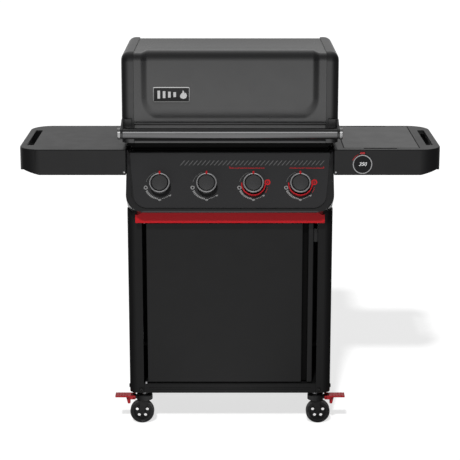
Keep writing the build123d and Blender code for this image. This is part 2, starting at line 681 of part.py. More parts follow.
def knob(x):
    """A round knob: a narrower body, a wider ring at the face, a shallow recess and a blind bore."""
    body = panel_rod(x, KNOB_UP, KNOB_STANDOFF, KNOB_FACE - 7, KNOB_R - 2)
    head = panel_rod(x, KNOB_UP, KNOB_FACE - 7, KNOB_FACE, KNOB_R)
    whole = body + head
    whole -= panel_rod(x, KNOB_UP, KNOB_FACE - 1.2, KNOB_FACE + 1, KNOB_R - 4.5)
    whole -= panel_rod(x, KNOB_UP, KNOB_STANDOFF - 1, STEM_TOP + 5, STEM_R + RUN_FIT)
    return whole


# ---------------------------------------------------------------- control panel and bezel
PANEL_CUT_ABOVE = 60.0            # how far the trimming outline runs on above the panel's face
PANEL_SPREAD = (PANEL_TOP_HALF_W - PANEL_BASE_HALF_W) / (2 * PANEL_HALF_H)
PANEL_CUT_HALF_W = PANEL_TOP_HALF_W + PANEL_SPREAD * PANEL_CUT_ABOVE


def control_panel():
    """The sloping sheet with its fold at the top, trimmed to a trapezoid with round corners."""
    base = on_panel(0, -PANEL_HALF_H)
    top = on_panel(0, PANEL_HALF_H)
    centre = top - PANEL_OUT * PANEL_FOLD_R
    crest = centre + Vector(0, 0, PANEL_FOLD_R)
    inner_top = top - PANEL_OUT * PANEL_T
    inner_base = base - PANEL_OUT * PANEL_T
    inner_crest = centre + Vector(0, 0, PANEL_FOLD_R - PANEL_T)
    half_turn = (PANEL_OUT + Vector(0, 0, 1)).normalized()
    outer_mid = centre + half_turn * PANEL_FOLD_R
    inner_mid = centre + half_turn * (PANEL_FOLD_R - PANEL_T)
    section = [
        Line(base, top),
        ThreePointArc(top, outer_mid, crest),
        Line(crest, (0, PANEL_REAR_Y, crest.Z)),
        Line((0, PANEL_REAR_Y, crest.Z), (0, PANEL_REAR_Y, inner_crest.Z)),
        Line((0, PANEL_REAR_Y, inner_crest.Z), inner_crest),
        ThreePointArc(inner_crest, inner_mid, inner_top),
        Line(inner_top, inner_base),
        Line(inner_base, base),
    ]
    sheet = extrude(make_face(section), amount=2 * PANEL_TOP_HALF_W, dir=(1, 0, 0))
    sheet = Pos(-PANEL_TOP_HALF_W, 0, 0) * sheet
    trim = panel_prism(
        PANEL_CUT_HALF_W,
        PANEL_BASE_HALF_W,
        PANEL_HALF_H + PANEL_CUT_ABOVE,
        -PANEL_HALF_H,
        PANEL_CORNER_R,
        -80,
        20,
    )
    sheet = sheet & trim
    for x in KNOB_XS:
        sheet -= panel_rod(x, KNOB_UP, -10, 5, STEM_R + 2)
    return sheet


def control_bezel():
    """The glossy surround: two cheeks and a lower bar, with a rabbet that the panel sits in."""
    low = -PANEL_HALF_H - BEZEL_GROOVE - BEZEL_RIM
    high = PANEL_HALF_H + BEZEL_HORN
    ring = panel_prism(BEZEL_HALF_W, BEZEL_HALF_W, high, low, BEZEL_CORNER_R, -BEZEL_DEPTH, BEZEL_PROUD)
    for grow, out0 in ((BEZEL_GROOVE, -PANEL_T), (-7.0, -BEZEL_DEPTH - 1)):
        ring -= panel_prism(
            PANEL_CUT_HALF_W + grow,
            PANEL_BASE_HALF_W + grow,
            PANEL_HALF_H + PANEL_CUT_ABOVE,
            -PANEL_HALF_H - grow,
            PANEL_CORNER_R + grow,
            out0,
            BEZEL_PROUD + 1,
        )
    # hollow behind the ledge, which leaves room for the gas pipe
    place = Plane(origin=on_panel(0, BEZEL_HOLLOW_UP + 120), x_dir=(1, 0, 0), z_dir=PANEL_OUT)
    hollow = Box(2 * (BEZEL_HALF_W - BEZEL_WALL), 240, BEZEL_DEPTH)
    ring -= place * Pos(0, 0, -PANEL_T - BEZEL_LEDGE - BEZEL_DEPTH / 2) * hollow
    # room for the panel's fold at the top
    place = Plane(origin=on_panel(0, PANEL_HALF_H + 30), x_dir=(1, 0, 0), z_dir=PANEL_OUT)
    ring -= place * Pos(0, 0, -50) * Box(2 * PANEL_TOP_HALF_W + 2, 64, 94)
    # level underside, lower at the ends, where it clears the tray front's cut corners
    w = TRAY_FRONT_HALF_W
    gap = 3.0
    low_z = TRAY_TOP_Z - 11 + gap
    points = [(-400, low_z), (-w + 12, low_z), (-w + 24, TRAY_TOP_Z + gap), (w - 24, TRAY_TOP_Z + gap)]
    points += [(w - 12, low_z), (400, low_z), (400, 500), (-400, 500)]
    ring -= front_plate(points, -400, 0)
    for side in (-1, 1):
        ring -= span(*across(side, 0, 400), -CART_HALF_D - 1, 0, 500, FRONT_TOP_Z + SEAT)
    # clear of the cookbox wall and the cart's taller rear part
    ring -= span(-400, 400, BOX_FRONT_Y - 12.5, 200, 500, BOX_RIM_Z - RIM_T - 2)
    return ring


# ---------------------------------------------------------------- side tables
def table_plan(inset):
    """The table's outline seen from above, with its two outer corners rounded."""
    x0 = TABLE_INNER_X + inset
    x1 = TABLE_OUTER_X - inset
    y0 = TABLE_FRONT_Y + inset
    y1 = TABLE_REAR_Y - inset
    face = make_face(Polyline((x0, y0), (x1, y0), (x1, y1), (x0, y1), close=True))
    corners = face.vertices().sort_by(Axis.X)[-2:]
    return fillet(corners, TABLE_CORNER_R - inset)


def table_body(top_t):
    """A hollow moulded table with a carry slot and a rising underside, for the right side."""
    base = TABLE_TOP_Z - TABLE_APRON
    body = extrude(Pos(0, 0, base) * table_plan(0), amount=TABLE_APRON)
    rim = [e for e in body.edges() if e.center().Z > TABLE_TOP_Z - 0.01 and e.center().X > TABLE_INNER_X + 1]
    body = fillet(rim, 3.5)
    body -= extrude(Pos(0, 0, base - 1) * table_plan(TABLE_WALL), amount=TABLE_APRON - top_t + 1)
    slot_x = (SLOT_IN_X + SLOT_OUT_X) / 2
    slot_y = (SLOT_FRONT_Y + SLOT_REAR_Y) / 2
    slot = Pos(slot_x, slot_y, base) * RectangleRounded(
        SLOT_OUT_X - SLOT_IN_X, SLOT_REAR_Y - SLOT_FRONT_Y, 5
    )
    body -= extrude(slot, amount=TABLE_APRON + 5)
    points = [(TABLE_RISE_X, base - 1), (TABLE_OUTER_X + 5, base - 1), (TABLE_OUTER_X + 5, base + TABLE_RISE)]
    points += [(TABLE_RISE_X, base)]
    return body - front_plate(points, TABLE_FRONT_Y - 5, TABLE_REAR_Y + 5)


def side_table_left():
    """The plain table."""
    return mirror(table_body(TABLE_TOP_T), about=Plane.YZ)


RIGHT_TOP_T = INSERT_T + 5
BUTTON_POCKET = 0.3
BUTTON_DEPTH = TABLE_WALL + 4


def side_table_right():
    """The table with a recess for the insert, finger notches and the display's hole."""
    table = table_body(RIGHT_TOP_T)
    g = INSERT_GAP
    table -= span(
        INSERT_IN_X - g,
        INSERT_OUT_X + g,
        -INSERT_HALF_Y - g,
        INSERT_HALF_Y + g,
        TABLE_TOP_Z - INSERT_T - SEAT,
        TABLE_TOP_Z + 5,
    )
    y_in = INSERT_HALF_Y + g - 1
    notch_z = TABLE_TOP_Z - NOTCH_DEEP
    table -= span(NOTCH_IN_X, NOTCH_OUT_X, -y_in - NOTCH_W, -y_in, notch_z, TABLE_TOP_Z + 5)
    table -= span(NOTCH_IN_X, NOTCH_OUT_X, y_in, y_in + NOTCH_W - 2, notch_z, TABLE_TOP_Z + 5)
    face = TABLE_FRONT_Y
    table -= rod_y(DISPLAY_X, face - 1, face + TABLE_WALL + 1, DISPLAY_Z, DISPLAY_R - 5)
    table -= button_block(BUTTON_POCKET, -1, BUTTON_DEPTH + BUTTON_TRAVEL + SEAT)
    return table


def button_block(grow, in0, in1):
    """A block in the apron above the display, between two depths behind its face."""
    z0 = DISPLAY_Z + DISPLAY_R + 1
    half = BUTTON_W / 2
    return span(
        DISPLAY_X - half - grow,
        DISPLAY_X + half + grow,
        TABLE_FRONT_Y + in0,
        TABLE_FRONT_Y + in1,
        z0 - grow,
        z0 + BUTTON_H + grow,
    )


def display_button():
    """The red key: a cap in front of the apron and a stem with a flange behind it."""
    return button_block(0, -3.5, BUTTON_DEPTH)


def prep_insert():
    """The lift-out board that lies in the right table's recess."""
    x_mid = (INSERT_IN_X + INSERT_OUT_X) / 2
    plane = Plane(origin=(x_mid, 0, TABLE_TOP_Z - INSERT_T))
    board = plane * RectangleRounded(INSERT_OUT_X - INSERT_IN_X, 2 * INSERT_HALF_Y, 5)
    return extrude(board, amount=INSERT_T)


def display_housing():
    """The round case: a ring in front of the apron, a barrel through it."""
    face = TABLE_FRONT_Y
    ring = rod_y(DISPLAY_X, face - DISPLAY_PROUD, face, DISPLAY_Z, DISPLAY_R)
    barrel = rod_y(DISPLAY_X, face, face + 18, DISPLAY_Z, DISPLAY_R - 5.3)
    lip_y = face - DISPLAY_PROUD
    pocket = rod_y(DISPLAY_X, lip_y - 1, lip_y + 2, DISPLAY_Z, DISPLAY_R - DISPLAY_RING)
    return ring + barrel - pocket


def display_glass():
    """The lens in the ring."""
    face = TABLE_FRONT_Y - DISPLAY_PROUD
    return rod_y(DISPLAY_X, face + 0.6, face + 2, DISPLAY_Z, DISPLAY_R - DISPLAY_RING)


def table_arms(side):
    """Two bars under a table's top, against the cart side's wall end."""
    top = TABLE_TOP_Z - (TABLE_TOP_T if side < 0 else RIGHT_TOP_T)
    x0 = TABLE_INNER_X + TABLE_WALL
    arms = []
    for y in (-120, 120):
        arms.append(span(*across(side, x0, TABLE_OUTER_X - 87), y - 12, y + 12, top - 14, top))
    return arms


def tool_rail(side):
    """A J-section rail inside the lower edge of a table's outer wall, hooked up outside it."""
    base = TABLE_TOP_Z - TABLE_APRON
    wall = TABLE_OUTER_X - TABLE_WALL
    y0 = -108.0
    y1 = 98.0
    leg = span(*across(side, wall - 2.5, wall), y0, y1, base - 4, base + 34)
    floor = span(*across(side, wall - 2.5, TABLE_OUTER_X + 5), y0, y1, base - 4, base - 1.5)
    hook = span(*across(side, TABLE_OUTER_X + 2.5, TABLE_OUTER_X + 5), y0, y1, base - 4, base + 13)
    return leg + floor + hook


# ---------------------------------------------------------------- lid
def lid_front(raise_by, recess):
    """The front half of the lid's section, from the lip up to the crease, with corner radii."""
    points = [(LID_FRONT_BASE_Y + 3, LID_BASE_Z, 0)]
    if recess:
        points = [
            (LID_FRONT_BASE_Y + 6, LID_BASE_Z, 0),
            (LID_FRONT_BASE_Y + 6, LID_BASE_Z + LID_LIP_H, 0),
            (LID_FRONT_BASE_Y + LID_RECESS, LID_BASE_Z + LID_LIP_H + 4, 0),
            (LID_FRONT_BASE_Y + LID_RECESS, LID_FLAT_Z - LID_LIP_H, 0),
        ]
    points.append((LID_FRONT_BASE_Y, LID_FLAT_Z, 0))
    points.append((LID_FRONT_TOP_Y, LID_CREASE_Z + raise_by, LID_CREASE_R + raise_by))
    return points


def lid_rear(raise_by):
    """The rear half of the section, from the crease back and down to the hinge side."""
    y = LID_REAR_Y + raise_by
    return [
        (y - 12, LID_TOP_REAR_Z + raise_by, LID_TOP_REAR_R + raise_by),
        (y, LID_REAR_BASE_Z, 0),
        (205, LID_BASE_Z, 0),
    ]


def lid_solid(raise_by, recess, x0, x1):
    """The whole lid section as a solid between two x values."""
    return outline(lid_front(raise_by, recess) + lid_rear(raise_by), x0, x1)


def lid_hollow(wall, raise_by, recess, x0, x1):
    """The same section moved in by a wall, open below."""
    front = []
    for i, (y, z, r) in enumerate(lid_front(raise_by, recess)):
        lower = z < LID_CREASE_Z - 1
        front.append((y + wall, z if lower else z - wall, max(r - wall, 0)))
    y, z, r = lid_rear(raise_by)[0]
    rear = [(y - wall, z - wall, r - wall), (LID_REAR_Y + raise_by - wall, LID_REAR_BASE_Z, 0)]
    floor = LID_BASE_Z - 40
    front[0] = (front[0][0], floor, 0)
    rear.append((LID_REAR_Y + raise_by - wall, floor, 0))
    return outline(front + rear, x0, x1)


FIELD_HALF_W = SKIN_HALF_W - 36.0
FIELD_FOOT_Z = LID_FLAT_Z + 14.0
FIELD_RAMP = 39.0          # height of the slope at the field's foot
FIELD_BACK_Y = -112.0      # where the field starts to fade into the top
FIELD_FADE = 34.0
LID_LEAN = (LID_FRONT_TOP_Y - LID_FRONT_BASE_Y) / (LID_CREASE_Z - LID_FLAT_Z)


def field_y(z):
    """The face of the raised field at a height: the leaning front, moved out."""
    return LID_FRONT_BASE_Y + LID_LEAN * (z - LID_FLAT_Z) - FIELD_PROUD


def lid_skin():
    """The formed sheet between the end caps, with its raised field on the front."""
    skin = lid_solid(0, True, -SKIN_HALF_W, SKIN_HALF_W)
    top = LID_CREASE_Z + FIELD_PROUD
    full = FIELD_FOOT_Z + FIELD_RAMP
    field = outline(
        [
            (field_y(FIELD_FOOT_Z) + FIELD_PROUD + 1, FIELD_FOOT_Z, 0),
            (field_y(full), full, 0),
            (field_y(top), top, LID_CREASE_R),
            (FIELD_BACK_Y, top, 0),
            (FIELD_BACK_Y + FIELD_FADE, LID_CREASE_Z - 1, 0),
            (FIELD_BACK_Y, FIELD_FOOT_Z, 0),
        ],
        -FIELD_HALF_W,
        FIELD_HALF_W,
    )
    skin += field
    return skin - lid_hollow(SKIN_T, 0, True, -SKIN_HALF_W - 1, SKIN_HALF_W + 1)


HINGE_ARM_X = CAP_HALF_W - 28    # inner face of the lid's hinge arm


def lid_end_cap(side):
    """A cast end: rim section and outer wall, rounded outside, hollow inside, with a hinge arm."""
    rest = lid_solid(CAP_PROUD, False, *across(side, SKIN_HALF_W, CAP_HALF_W))
    outer = [e for e in rest.edges() if abs(e.center().X - side * CAP_HALF_W) < 0.5]
    edges = [e for e in outer if e.center().Z > LID_BASE_Z + 12]
    rest = fillet(edges, CAP_EDGE_R)
    rest -= lid_hollow(
        CAP_WALL + CAP_PROUD, CAP_PROUD, False, *across(side, SKIN_HALF_W - 1, CAP_HALF_W - CAP_WALL)
    )
    arm_x = across(side, HINGE_ARM_X, HINGE_ARM_X + 12)
    arm = span(*arm_x, LID_REAR_Y - 4, HINGE_Y + 2, HINGE_Z, HINGE_Z + 62)
    arm += rod_x(*arm_x, HINGE_Y, HINGE_Z, HINGE_R)
    arm -= rod_x(arm_x[0] - 1, arm_x[1] + 1, HINGE_Y, HINGE_Z, HINGE_PIN_R + RUN_FIT)
    return rest + arm


def lid_hinge_bracket(side):
    """A bracket on the cookbox's rear wall with the hinge pin that the lid turns on."""
    y0 = BOX_REAR_Y
    points = [
        (y0, 850),
        (y0, BOX_RIM_Z - RIM_T - 2),
        (BOX_RIM_REAR_Y + 1.5, BOX_RIM_Z - RIM_T - 2),
        (BOX_RIM_REAR_Y + 1.5, HINGE_Z),
        (HINGE_Y - 10, HINGE_Z + 8),
        (HINGE_Y + 4, HINGE_Z + 8),
        (HINGE_Y + 11, HINGE_Z),
        (HINGE_Y + 9, HINGE_Z - 14),
        (y0 + 16, 850),
    ]
    plate = side_plate(points, *across(side, HINGE_ARM_X - 18, HINGE_ARM_X - 4))
    return plate + rod_x(side * (HINGE_ARM_X - 12), side * (HINGE_ARM_X + 14), HINGE_Y, HINGE_Z, HINGE_PIN_R)


def handle_tube():
    """The round grip."""
    return rod_x(-HANDLE_HALF, HANDLE_HALF, HANDLE_Y, HANDLE_Z, HANDLE_R) - rod_x(
        -HANDLE_HALF - 1, HANDLE_HALF + 1, HANDLE_Y, HANDLE_Z, HANDLE_R - 2
    )


def handle_bracket(side):
    """An arm from the lid's lower front corner to the end of the grip."""
    x0, x1 = across(side, HANDLE_HALF, HANDLE_HALF + HANDLE_ARM_T)
    ring = rod_x(x0, x1, HANDLE_Y, HANDLE_Z, HANDLE_R - 1)
    lid_y = LID_FRONT_BASE_Y
    points = [(HANDLE_Y, HANDLE_Z + 13), (HANDLE_Y, HANDLE_Z - 11), (lid_y - 14, HANDLE_Z + 6)]
    points += [(lid_y - SEAT + 2, HANDLE_Z + 10), (lid_y - SEAT + 2, HANDLE_Z + 34)]
    points.append((lid_y - 12, HANDLE_Z + 34))
    arm = side_plate(points, x0, x1)
    cut = lid_solid(CAP_PROUD, False, x0 - 1, x1 + 1)
    # flat foot that seats on the end cap's face, inside its rounded edge
    foot_x = across(side, HANDLE_FOOT_X, HANDLE_HALF + 1)
    foot = span(*foot_x, lid_y - 7, lid_y - SEAT, HANDLE_Z + 10, HANDLE_Z + 34)
    return ring + (arm - cut) + foot


def handle_cap(side):
    """The polished end of the grip, outside its bracket."""
    x0, x1 = across(side, HANDLE_HALF + HANDLE_ARM_T, HANDLE_HALF + HANDLE_ARM_T + HANDLE_CAP_T)
    cap = rod_x(x0, x1, HANDLE_Y, HANDLE_Z, HANDLE_CAP_R)
    end = side * (HANDLE_HALF + HANDLE_ARM_T + HANDLE_CAP_T)
    edge = [e for e in cap.edges() if abs(e.center().X - end) < 0.01]
    return fillet(edge, 2.5)


BADGE_X = -177.0
BADGE_Z = 1064.0
BADGE_W = 112.0
BADGE_H = 46.5


def lid_badge():
    """A framed plate on the raised field, left of centre."""
    normal = Vector(0, -1, LID_LEAN).normalized()
    plane = Plane(origin=Vector(BADGE_X, field_y(BADGE_Z), BADGE_Z), x_dir=(1, 0, 0), z_dir=normal)
    plate = extrude(plane * RectangleRounded(BADGE_W, BADGE_H, 3), amount=3.0, dir=tuple(normal))
    inner = extrude(
        plane.offset(1.8) * RectangleRounded(BADGE_W - 6, BADGE_H - 6, 2), amount=3.0, dir=tuple(normal)
    )
    return plate - inner


# ---------------------------------------------------------------- casters
def wheel_at(side, end):
    """The wheel's middle."""
    return side * WHEEL_X, end * CASTER_Y


def caster_wheel(side, end):
    """Hub and tyre as two solids, the hub bored for the axle."""
    x, y = wheel_at(side, end)
    half = WHEEL_W / 2
    tyre = rod_y(x, y - half, y + half, WHEEL_R, WHEEL_R)
    edges = [e for e in tyre.edges().filter_by(GeomType.CIRCLE)]
    tyre = fillet(edges, 3)
    tyre -= rod_y(x, y - half - 1, y + half + 1, WHEEL_R, WHEEL_R - 9)
    hub = rod_y(x, y - half + 1, y + half - 1, WHEEL_R, WHEEL_R - 9)
    hub -= rod_y(x, y - half, y - 3, WHEEL_R, WHEEL_R - 13)
    hub -= rod_y(x, y + 3, y + half, WHEEL_R, WHEEL_R - 13)
    hub += rod_y(x, y - half + 0.5, y + half - 0.5, WHEEL_R, 9)
    for i in range(5):
        place = Pos(x, y, WHEEL_R) * Rot(0, 72 * i, 0) * Pos(0, 0, 17)
        hub -= place * Rot(90, 0, 0) * Cylinder(5, WHEEL_W)
    hub -= rod_y(x, y - half - 1, y + half + 1, WHEEL_R, AXLE_R + RUN_FIT)
    return [tyre, hub]


def caster_fork(side, end):
    """Crown, two tapering legs and the axle; the front ones carry ears for the brake lever."""
    x, y = wheel_at(side, end)
    stem_x = side * STEM_X
    gap = WHEEL_W / 2 + FORK_GAP
    fork = rod_z(stem_x, y, CROWN_BASE_Z, CROWN_TOP_Z, CROWN_R)
    top_edge = [e for e in fork.edges().filter_by(GeomType.CIRCLE) if e.center().Z > CROWN_TOP_Z - 0.1]
    fork = fillet(top_edge, 4)
    low = WHEEL_R
    for near in (-1, 1):
        y0, y1 = sorted((y + near * gap, y + near * (gap + FORK_LEG_T)))
        points = [(stem_x - 15, CROWN_BASE_Z + 3), (stem_x + 15, CROWN_BASE_Z + 3)]
        points += [(x + 8, low + 6), (x + 8, low), (x - 8, low), (x - 8, low + 6)]
        fork += front_plate(points, y0, y1)
        fork += rod_y(x, y0, y1, low, 8)
    fork += rod_y(x, y - gap - FORK_LEG_T - 2, y + gap + FORK_LEG_T + 2, low, AXLE_R)
    fork -= rod_z(stem_x, y, CROWN_BASE_Z - 1, CROWN_TOP_Z + 1, CASTER_STEM_R + RUN_FIT)
    if end < 0:
        for near in (-1, 1):
            ear_y = sorted((y + near * (LEVER_W / 2 - 5.4), y + near * (LEVER_W / 2 - 9)))
            ear = span(
                *across(side, STEM_X + 8, LEVER_PIVOT_X + 4), *ear_y, LEVER_PIVOT_Z - 4, LEVER_PIVOT_Z + 4
            )
            fork += ear
        pin_y = LEVER_W / 2 - 1
        fork += rod_y(side * LEVER_PIVOT_X, y - pin_y, y + pin_y, LEVER_PIVOT_Z, LEVER_PIN_R)
    return fork


def brake_lever(side):
    """The red foot pedal: a plate with ribs, two cheeks on the pin and a shoe over the tread."""
    y = -CASTER_Y
    half = LEVER_W / 2
    top = LEVER_PIVOT_Z + 7
    pedal = span(*across(side, LEVER_PIVOT_X + 9, LEVER_END_X), y - half, y + half, top - 5, top)
    for i in range(5):
        rib_x = LEVER_PIVOT_X + 20 + 9 * i
        pedal += span(*across(side, rib_x, rib_x + 3), y - half + 2, y + half - 2, top - 1, top + 1)
    for near in (-1, 1):
        cheek_y = sorted((y + near * half, y + near * (half - 5)))
        cheek = span(
            *across(side, LEVER_PIVOT_X - 5, LEVER_PIVOT_X + 14), *cheek_y, LEVER_PIVOT_Z - 5, top
        )
        cheek -= rod_y(side * LEVER_PIVOT_X, y - half - 1, y + half + 1, LEVER_PIVOT_Z, LEVER_PIN_R + RUN_FIT)
        pedal += cheek
    shoe = [(side * (LEVER_PIVOT_X + 11), top - 3), (side * (LEVER_PIVOT_X + 26), top - 3)]
    shoe += [(side * (LEVER_PIVOT_X + 20), 64), (side * (LEVER_PIVOT_X + 12), 64)]
    return pedal + front_plate(shoe, y - 7, y + 7)


def caster_stem(side, end):
    """The fixed stem: shaft in the crown, collar under the cart's plate and nut above it."""
    x = side * STEM_X
    y = end * CASTER_Y
    stem = rod_z(x, y, CROWN_BASE_Z + 1, CART_BASE_Z + SHEET + 12, CASTER_STEM_R)
    stem += rod_z(x, y, CROWN_TOP_Z + SEAT, CART_BASE_Z, CASTER_STEM_R + 6)
    return stem + rod_z(x, y, CART_BASE_Z + SHEET, CART_BASE_Z + SHEET + 7, CASTER_STEM_R + 5)


# ---------------------------------------------------------------- write the parts
CORNERS = {"front_left": (-1, -1), "front_right": (1, -1), "rear_left": (-1, 1), "rear_right": (1, 1)}


def cart_bolts():
    """Bolts at the foot of every leg."""
    bolts = []
    for side, end in CORNERS.values():
        bolts.append(bolt_x(side, end * SIDE_BOLT_Y, BOLT_Z))
        bolts.append(bolt_y(side * LEG_BOLT_X, end, BOLT_Z))
    return bolts


def main():
    os.makedirs("parts", exist_ok=True)
    save("cart_side_left", cart_side(-1))
    save("cart_side_right", cart_side(1))
    save("cart_rails", cart_rail(-1), cart_rail(1))
    save("cart_floor", cart_floor())
    save("cart_back", cart_back())
    save("cart_bolts", *cart_bolts())
    save("tray_runners", *both_sides(tray_runner))
    save("door_panel", door_panel())
    save("door_handle", door_handle())
    save("door_hinge_pins", *door_pins())
    save("door_catch", door_catch())
    save("tray_front", tray_front())
    save("grease_tray", grease_tray())
    save("drip_pan", drip_pan())
    save("cookbox", cookbox())
    save("burner_tubes", *[burner_tube(x) for x in KNOB_XS])
    save("heat_tents", *[heat_tent(BURNER_PITCH / 2 * i) for i in range(-3, 4)])
    save("cooking_grates", *both_sides(cooking_grate))
    save("warming_rack", warming_rack())
    save("igniter_electrodes", *[igniter(x) for x in KNOB_XS])
    save("gas_manifold", gas_manifold())
    save("gas_valves", *[gas_valve(x) for x in KNOB_XS])
    for number, x in enumerate(KNOB_XS, start=1):
        save(f"valve_stem_{number}", valve_stem(x))
        save(f"knob_{number}", knob(x))
    save("control_panel", control_panel())
    save("control_bezel", control_bezel())
    save("side_table_left", side_table_left())
    save("side_table_right", side_table_right())
    save("table_arms", *table_arms(-1), *table_arms(1))
    save("tool_rails", *both_sides(tool_rail))
    save("prep_insert", prep_insert())
    save("display_housing", display_housing())
    save("display_glass", display_glass())
    save("display_button", display_button())
    save("lid_skin", lid_skin())
    save("lid_end_cap_left", lid_end_cap(-1))
    save("lid_end_cap_right", lid_end_cap(1))
    save("lid_hinge_brackets", *both_sides(lid_hinge_bracket))
    save("lid_handle_tube", handle_tube())
    save("lid_handle_brackets", *both_sides(handle_bracket))
    save("lid_handle_caps", *both_sides(handle_cap))
    save("lid_badge", lid_badge())
    for corner, (side, end) in CORNERS.items():
        save(f"caster_fork_{corner}", caster_fork(side, end))
        save(f"caster_wheel_{corner}", *caster_wheel(side, end))
    save("caster_stems", *[caster_stem(side, end) for side, end in CORNERS.values()])
    save("brake_lever_left", brake_lever(-1))
    save("brake_lever_right", brake_lever(1))


main()
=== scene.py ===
# %% [markdown]
# # A gas barbecue grill on a closed cart
# The grill comes in as a fixed frame: every sheet, casting, shaft and wheel already has its real
# size and place. This lesson gives that frame its looks. Some pieces only need a finish, some need
# their sharp edges broken, and some, such as the pressed lid, the knobs and the prints on the
# panel, are modelled here.

# %% Load the frame
import json
import math
import bmesh
import bpy
from mathutils import Matrix, Vector


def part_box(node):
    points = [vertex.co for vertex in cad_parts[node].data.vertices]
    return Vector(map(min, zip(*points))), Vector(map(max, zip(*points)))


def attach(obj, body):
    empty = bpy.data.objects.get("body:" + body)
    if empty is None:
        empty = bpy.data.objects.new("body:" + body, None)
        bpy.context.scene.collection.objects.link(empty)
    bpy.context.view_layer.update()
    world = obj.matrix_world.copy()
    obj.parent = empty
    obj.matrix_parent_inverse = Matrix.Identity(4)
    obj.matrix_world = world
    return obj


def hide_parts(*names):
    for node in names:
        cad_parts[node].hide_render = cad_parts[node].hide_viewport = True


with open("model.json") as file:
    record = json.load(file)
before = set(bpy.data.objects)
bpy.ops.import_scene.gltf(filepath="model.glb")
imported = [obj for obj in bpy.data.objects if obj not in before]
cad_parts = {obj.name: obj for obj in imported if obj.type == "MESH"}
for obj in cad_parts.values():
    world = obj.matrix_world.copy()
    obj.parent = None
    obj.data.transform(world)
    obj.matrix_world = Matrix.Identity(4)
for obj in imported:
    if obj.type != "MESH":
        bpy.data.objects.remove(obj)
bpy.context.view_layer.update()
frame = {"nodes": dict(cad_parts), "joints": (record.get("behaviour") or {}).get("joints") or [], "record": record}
scene = bpy.context.scene
MM = 0.001
nodes_of = frame["record"]["behaviour"]["bodies"]
body_of = {node: body for body, nodes in nodes_of.items() for node in nodes}

# %% [markdown]
# ## The camera
# A large object is shown from far away with a long lens, so that its upright lines stay nearly
# parallel. The camera stands five metres in front, a little above the lid, and looks slightly down.

# %% Camera
camera_data = bpy.data.cameras.new("camera")
camera_data.sensor_width = 36.0
camera_data.lens = 123.73
camera_data.clip_end = 200.0
camera = bpy.data.objects.new("camera", camera_data)
camera.location = (0.0, -4.93278, 1.83001)
camera.rotation_euler = (math.radians(75.9045), 0.0, 0.0)
scene.collection.objects.link(camera)
scene.camera = camera
scene.view_settings.view_transform = "Standard"
print("camera looks down by", round(90 - math.degrees(camera.rotation_euler.x), 2), "degrees")

# %% [markdown]
# ## Floor and light
# A pale studio floor is nearly white by itself. Here it glows a little, as a lit floor does in a
# long exposure, and one low, soft sun from the front adds the rest, so that the grill throws a
# light, clear shadow behind it. Black enamel has hardly any colour of its own: what the eye sees on
# it is the room. So the room is drawn with care. Mirrored rays see a floor that is bright in front
# and dark at both sides, and an arch of light over the grill that is dim overhead and brighter
# behind. The dim parts draw the dark edges of the lid.

# %% Helpers for node trees
def mapped(tree, value, from_min, from_max, to_min, to_max):
    """A Map Range node that turns one span of numbers into another."""
    node = tree.nodes.new("ShaderNodeMapRange")
    node.inputs["From Min"].default_value = from_min
    node.inputs["From Max"].default_value = from_max
    node.inputs["To Min"].default_value = to_min
    node.inputs["To Max"].default_value = to_max
    tree.links.new(value, node.inputs["Value"])
    return node.outputs["Result"]


SIDE_FROM, SIDE_TO, SIDE_LEAST = 0.2, 0.85, 0.06
BRIGHT_LEFT = 0.07


def side_share(tree, direction):
    """1 straight ahead and behind, SIDE_LEAST at both sides. Also gives the parted direction."""
    split = tree.nodes.new("ShaderNodeSeparateXYZ")
    tree.links.new(direction, split.inputs[0])
    shifted = mapped(tree, split.outputs["X"], -1.0, 1.0, -1.0 + BRIGHT_LEFT, 1.0 + BRIGHT_LEFT)
    aside = tree.nodes.new("ShaderNodeMath")
    aside.operation = "ABSOLUTE"
    tree.links.new(shifted, aside.inputs[0])
    return mapped(tree, aside.outputs[0], SIDE_FROM, SIDE_TO, 1.0, SIDE_LEAST), split.outputs


# %% Floor
FLOOR_GLOW = 0.70
FLOOR_MIRRORED = 1.1
FLOOR_GREY = 0.56
FLOOR_REACH = 60.0
floor_mesh = bpy.data.meshes.new("studio_floor")
bm = bmesh.new()
bmesh.ops.create_grid(bm, x_segments=1, y_segments=1, size=FLOOR_REACH)
bm.to_mesh(floor_mesh)
bm.free()
floor = bpy.data.objects.new("studio_floor", floor_mesh)
scene.collection.objects.link(floor)
pale = bpy.data.materials.new("pale_floor")
pale.use_nodes = True
tree = pale.node_tree
tree.nodes.clear()
out = tree.nodes.new("ShaderNodeOutputMaterial")
both = tree.nodes.new("ShaderNodeAddShader")
matt = tree.nodes.new("ShaderNodeBsdfDiffuse")
matt.inputs["Color"].default_value = (FLOOR_GREY, FLOOR_GREY, FLOOR_GREY, 1.0)
glow = tree.nodes.new("ShaderNodeEmission")
glow.inputs["Strength"].default_value = FLOOR_GLOW
tree.links.new(matt.outputs[0], both.inputs[0])
tree.links.new(glow.outputs[0], both.inputs[1])
place = tree.nodes.new("ShaderNodeTexCoord")
heading = tree.nodes.new("ShaderNodeVectorMath")
heading.operation = "NORMALIZE"
tree.links.new(place.outputs["Object"], heading.inputs[0])
share, _ = side_share(tree, heading.outputs[0])
mirrored = tree.nodes.new("ShaderNodeEmission")
strength = mapped(tree, share, 0.0, 1.0, 0.0, FLOOR_MIRRORED)
tree.links.new(strength, mirrored.inputs["Strength"])
seen = tree.nodes.new("ShaderNodeLightPath")
chosen = tree.nodes.new("ShaderNodeMixShader")
tree.links.new(seen.outputs["Is Camera Ray"], chosen.inputs["Fac"])
tree.links.new(mirrored.outputs[0], chosen.inputs[1])
tree.links.new(both.outputs[0], chosen.inputs[2])
tree.links.new(chosen.outputs[0], out.inputs["Surface"])
floor_mesh.materials.append(pale)
print("floor reaches", FLOOR_REACH, "m each way")

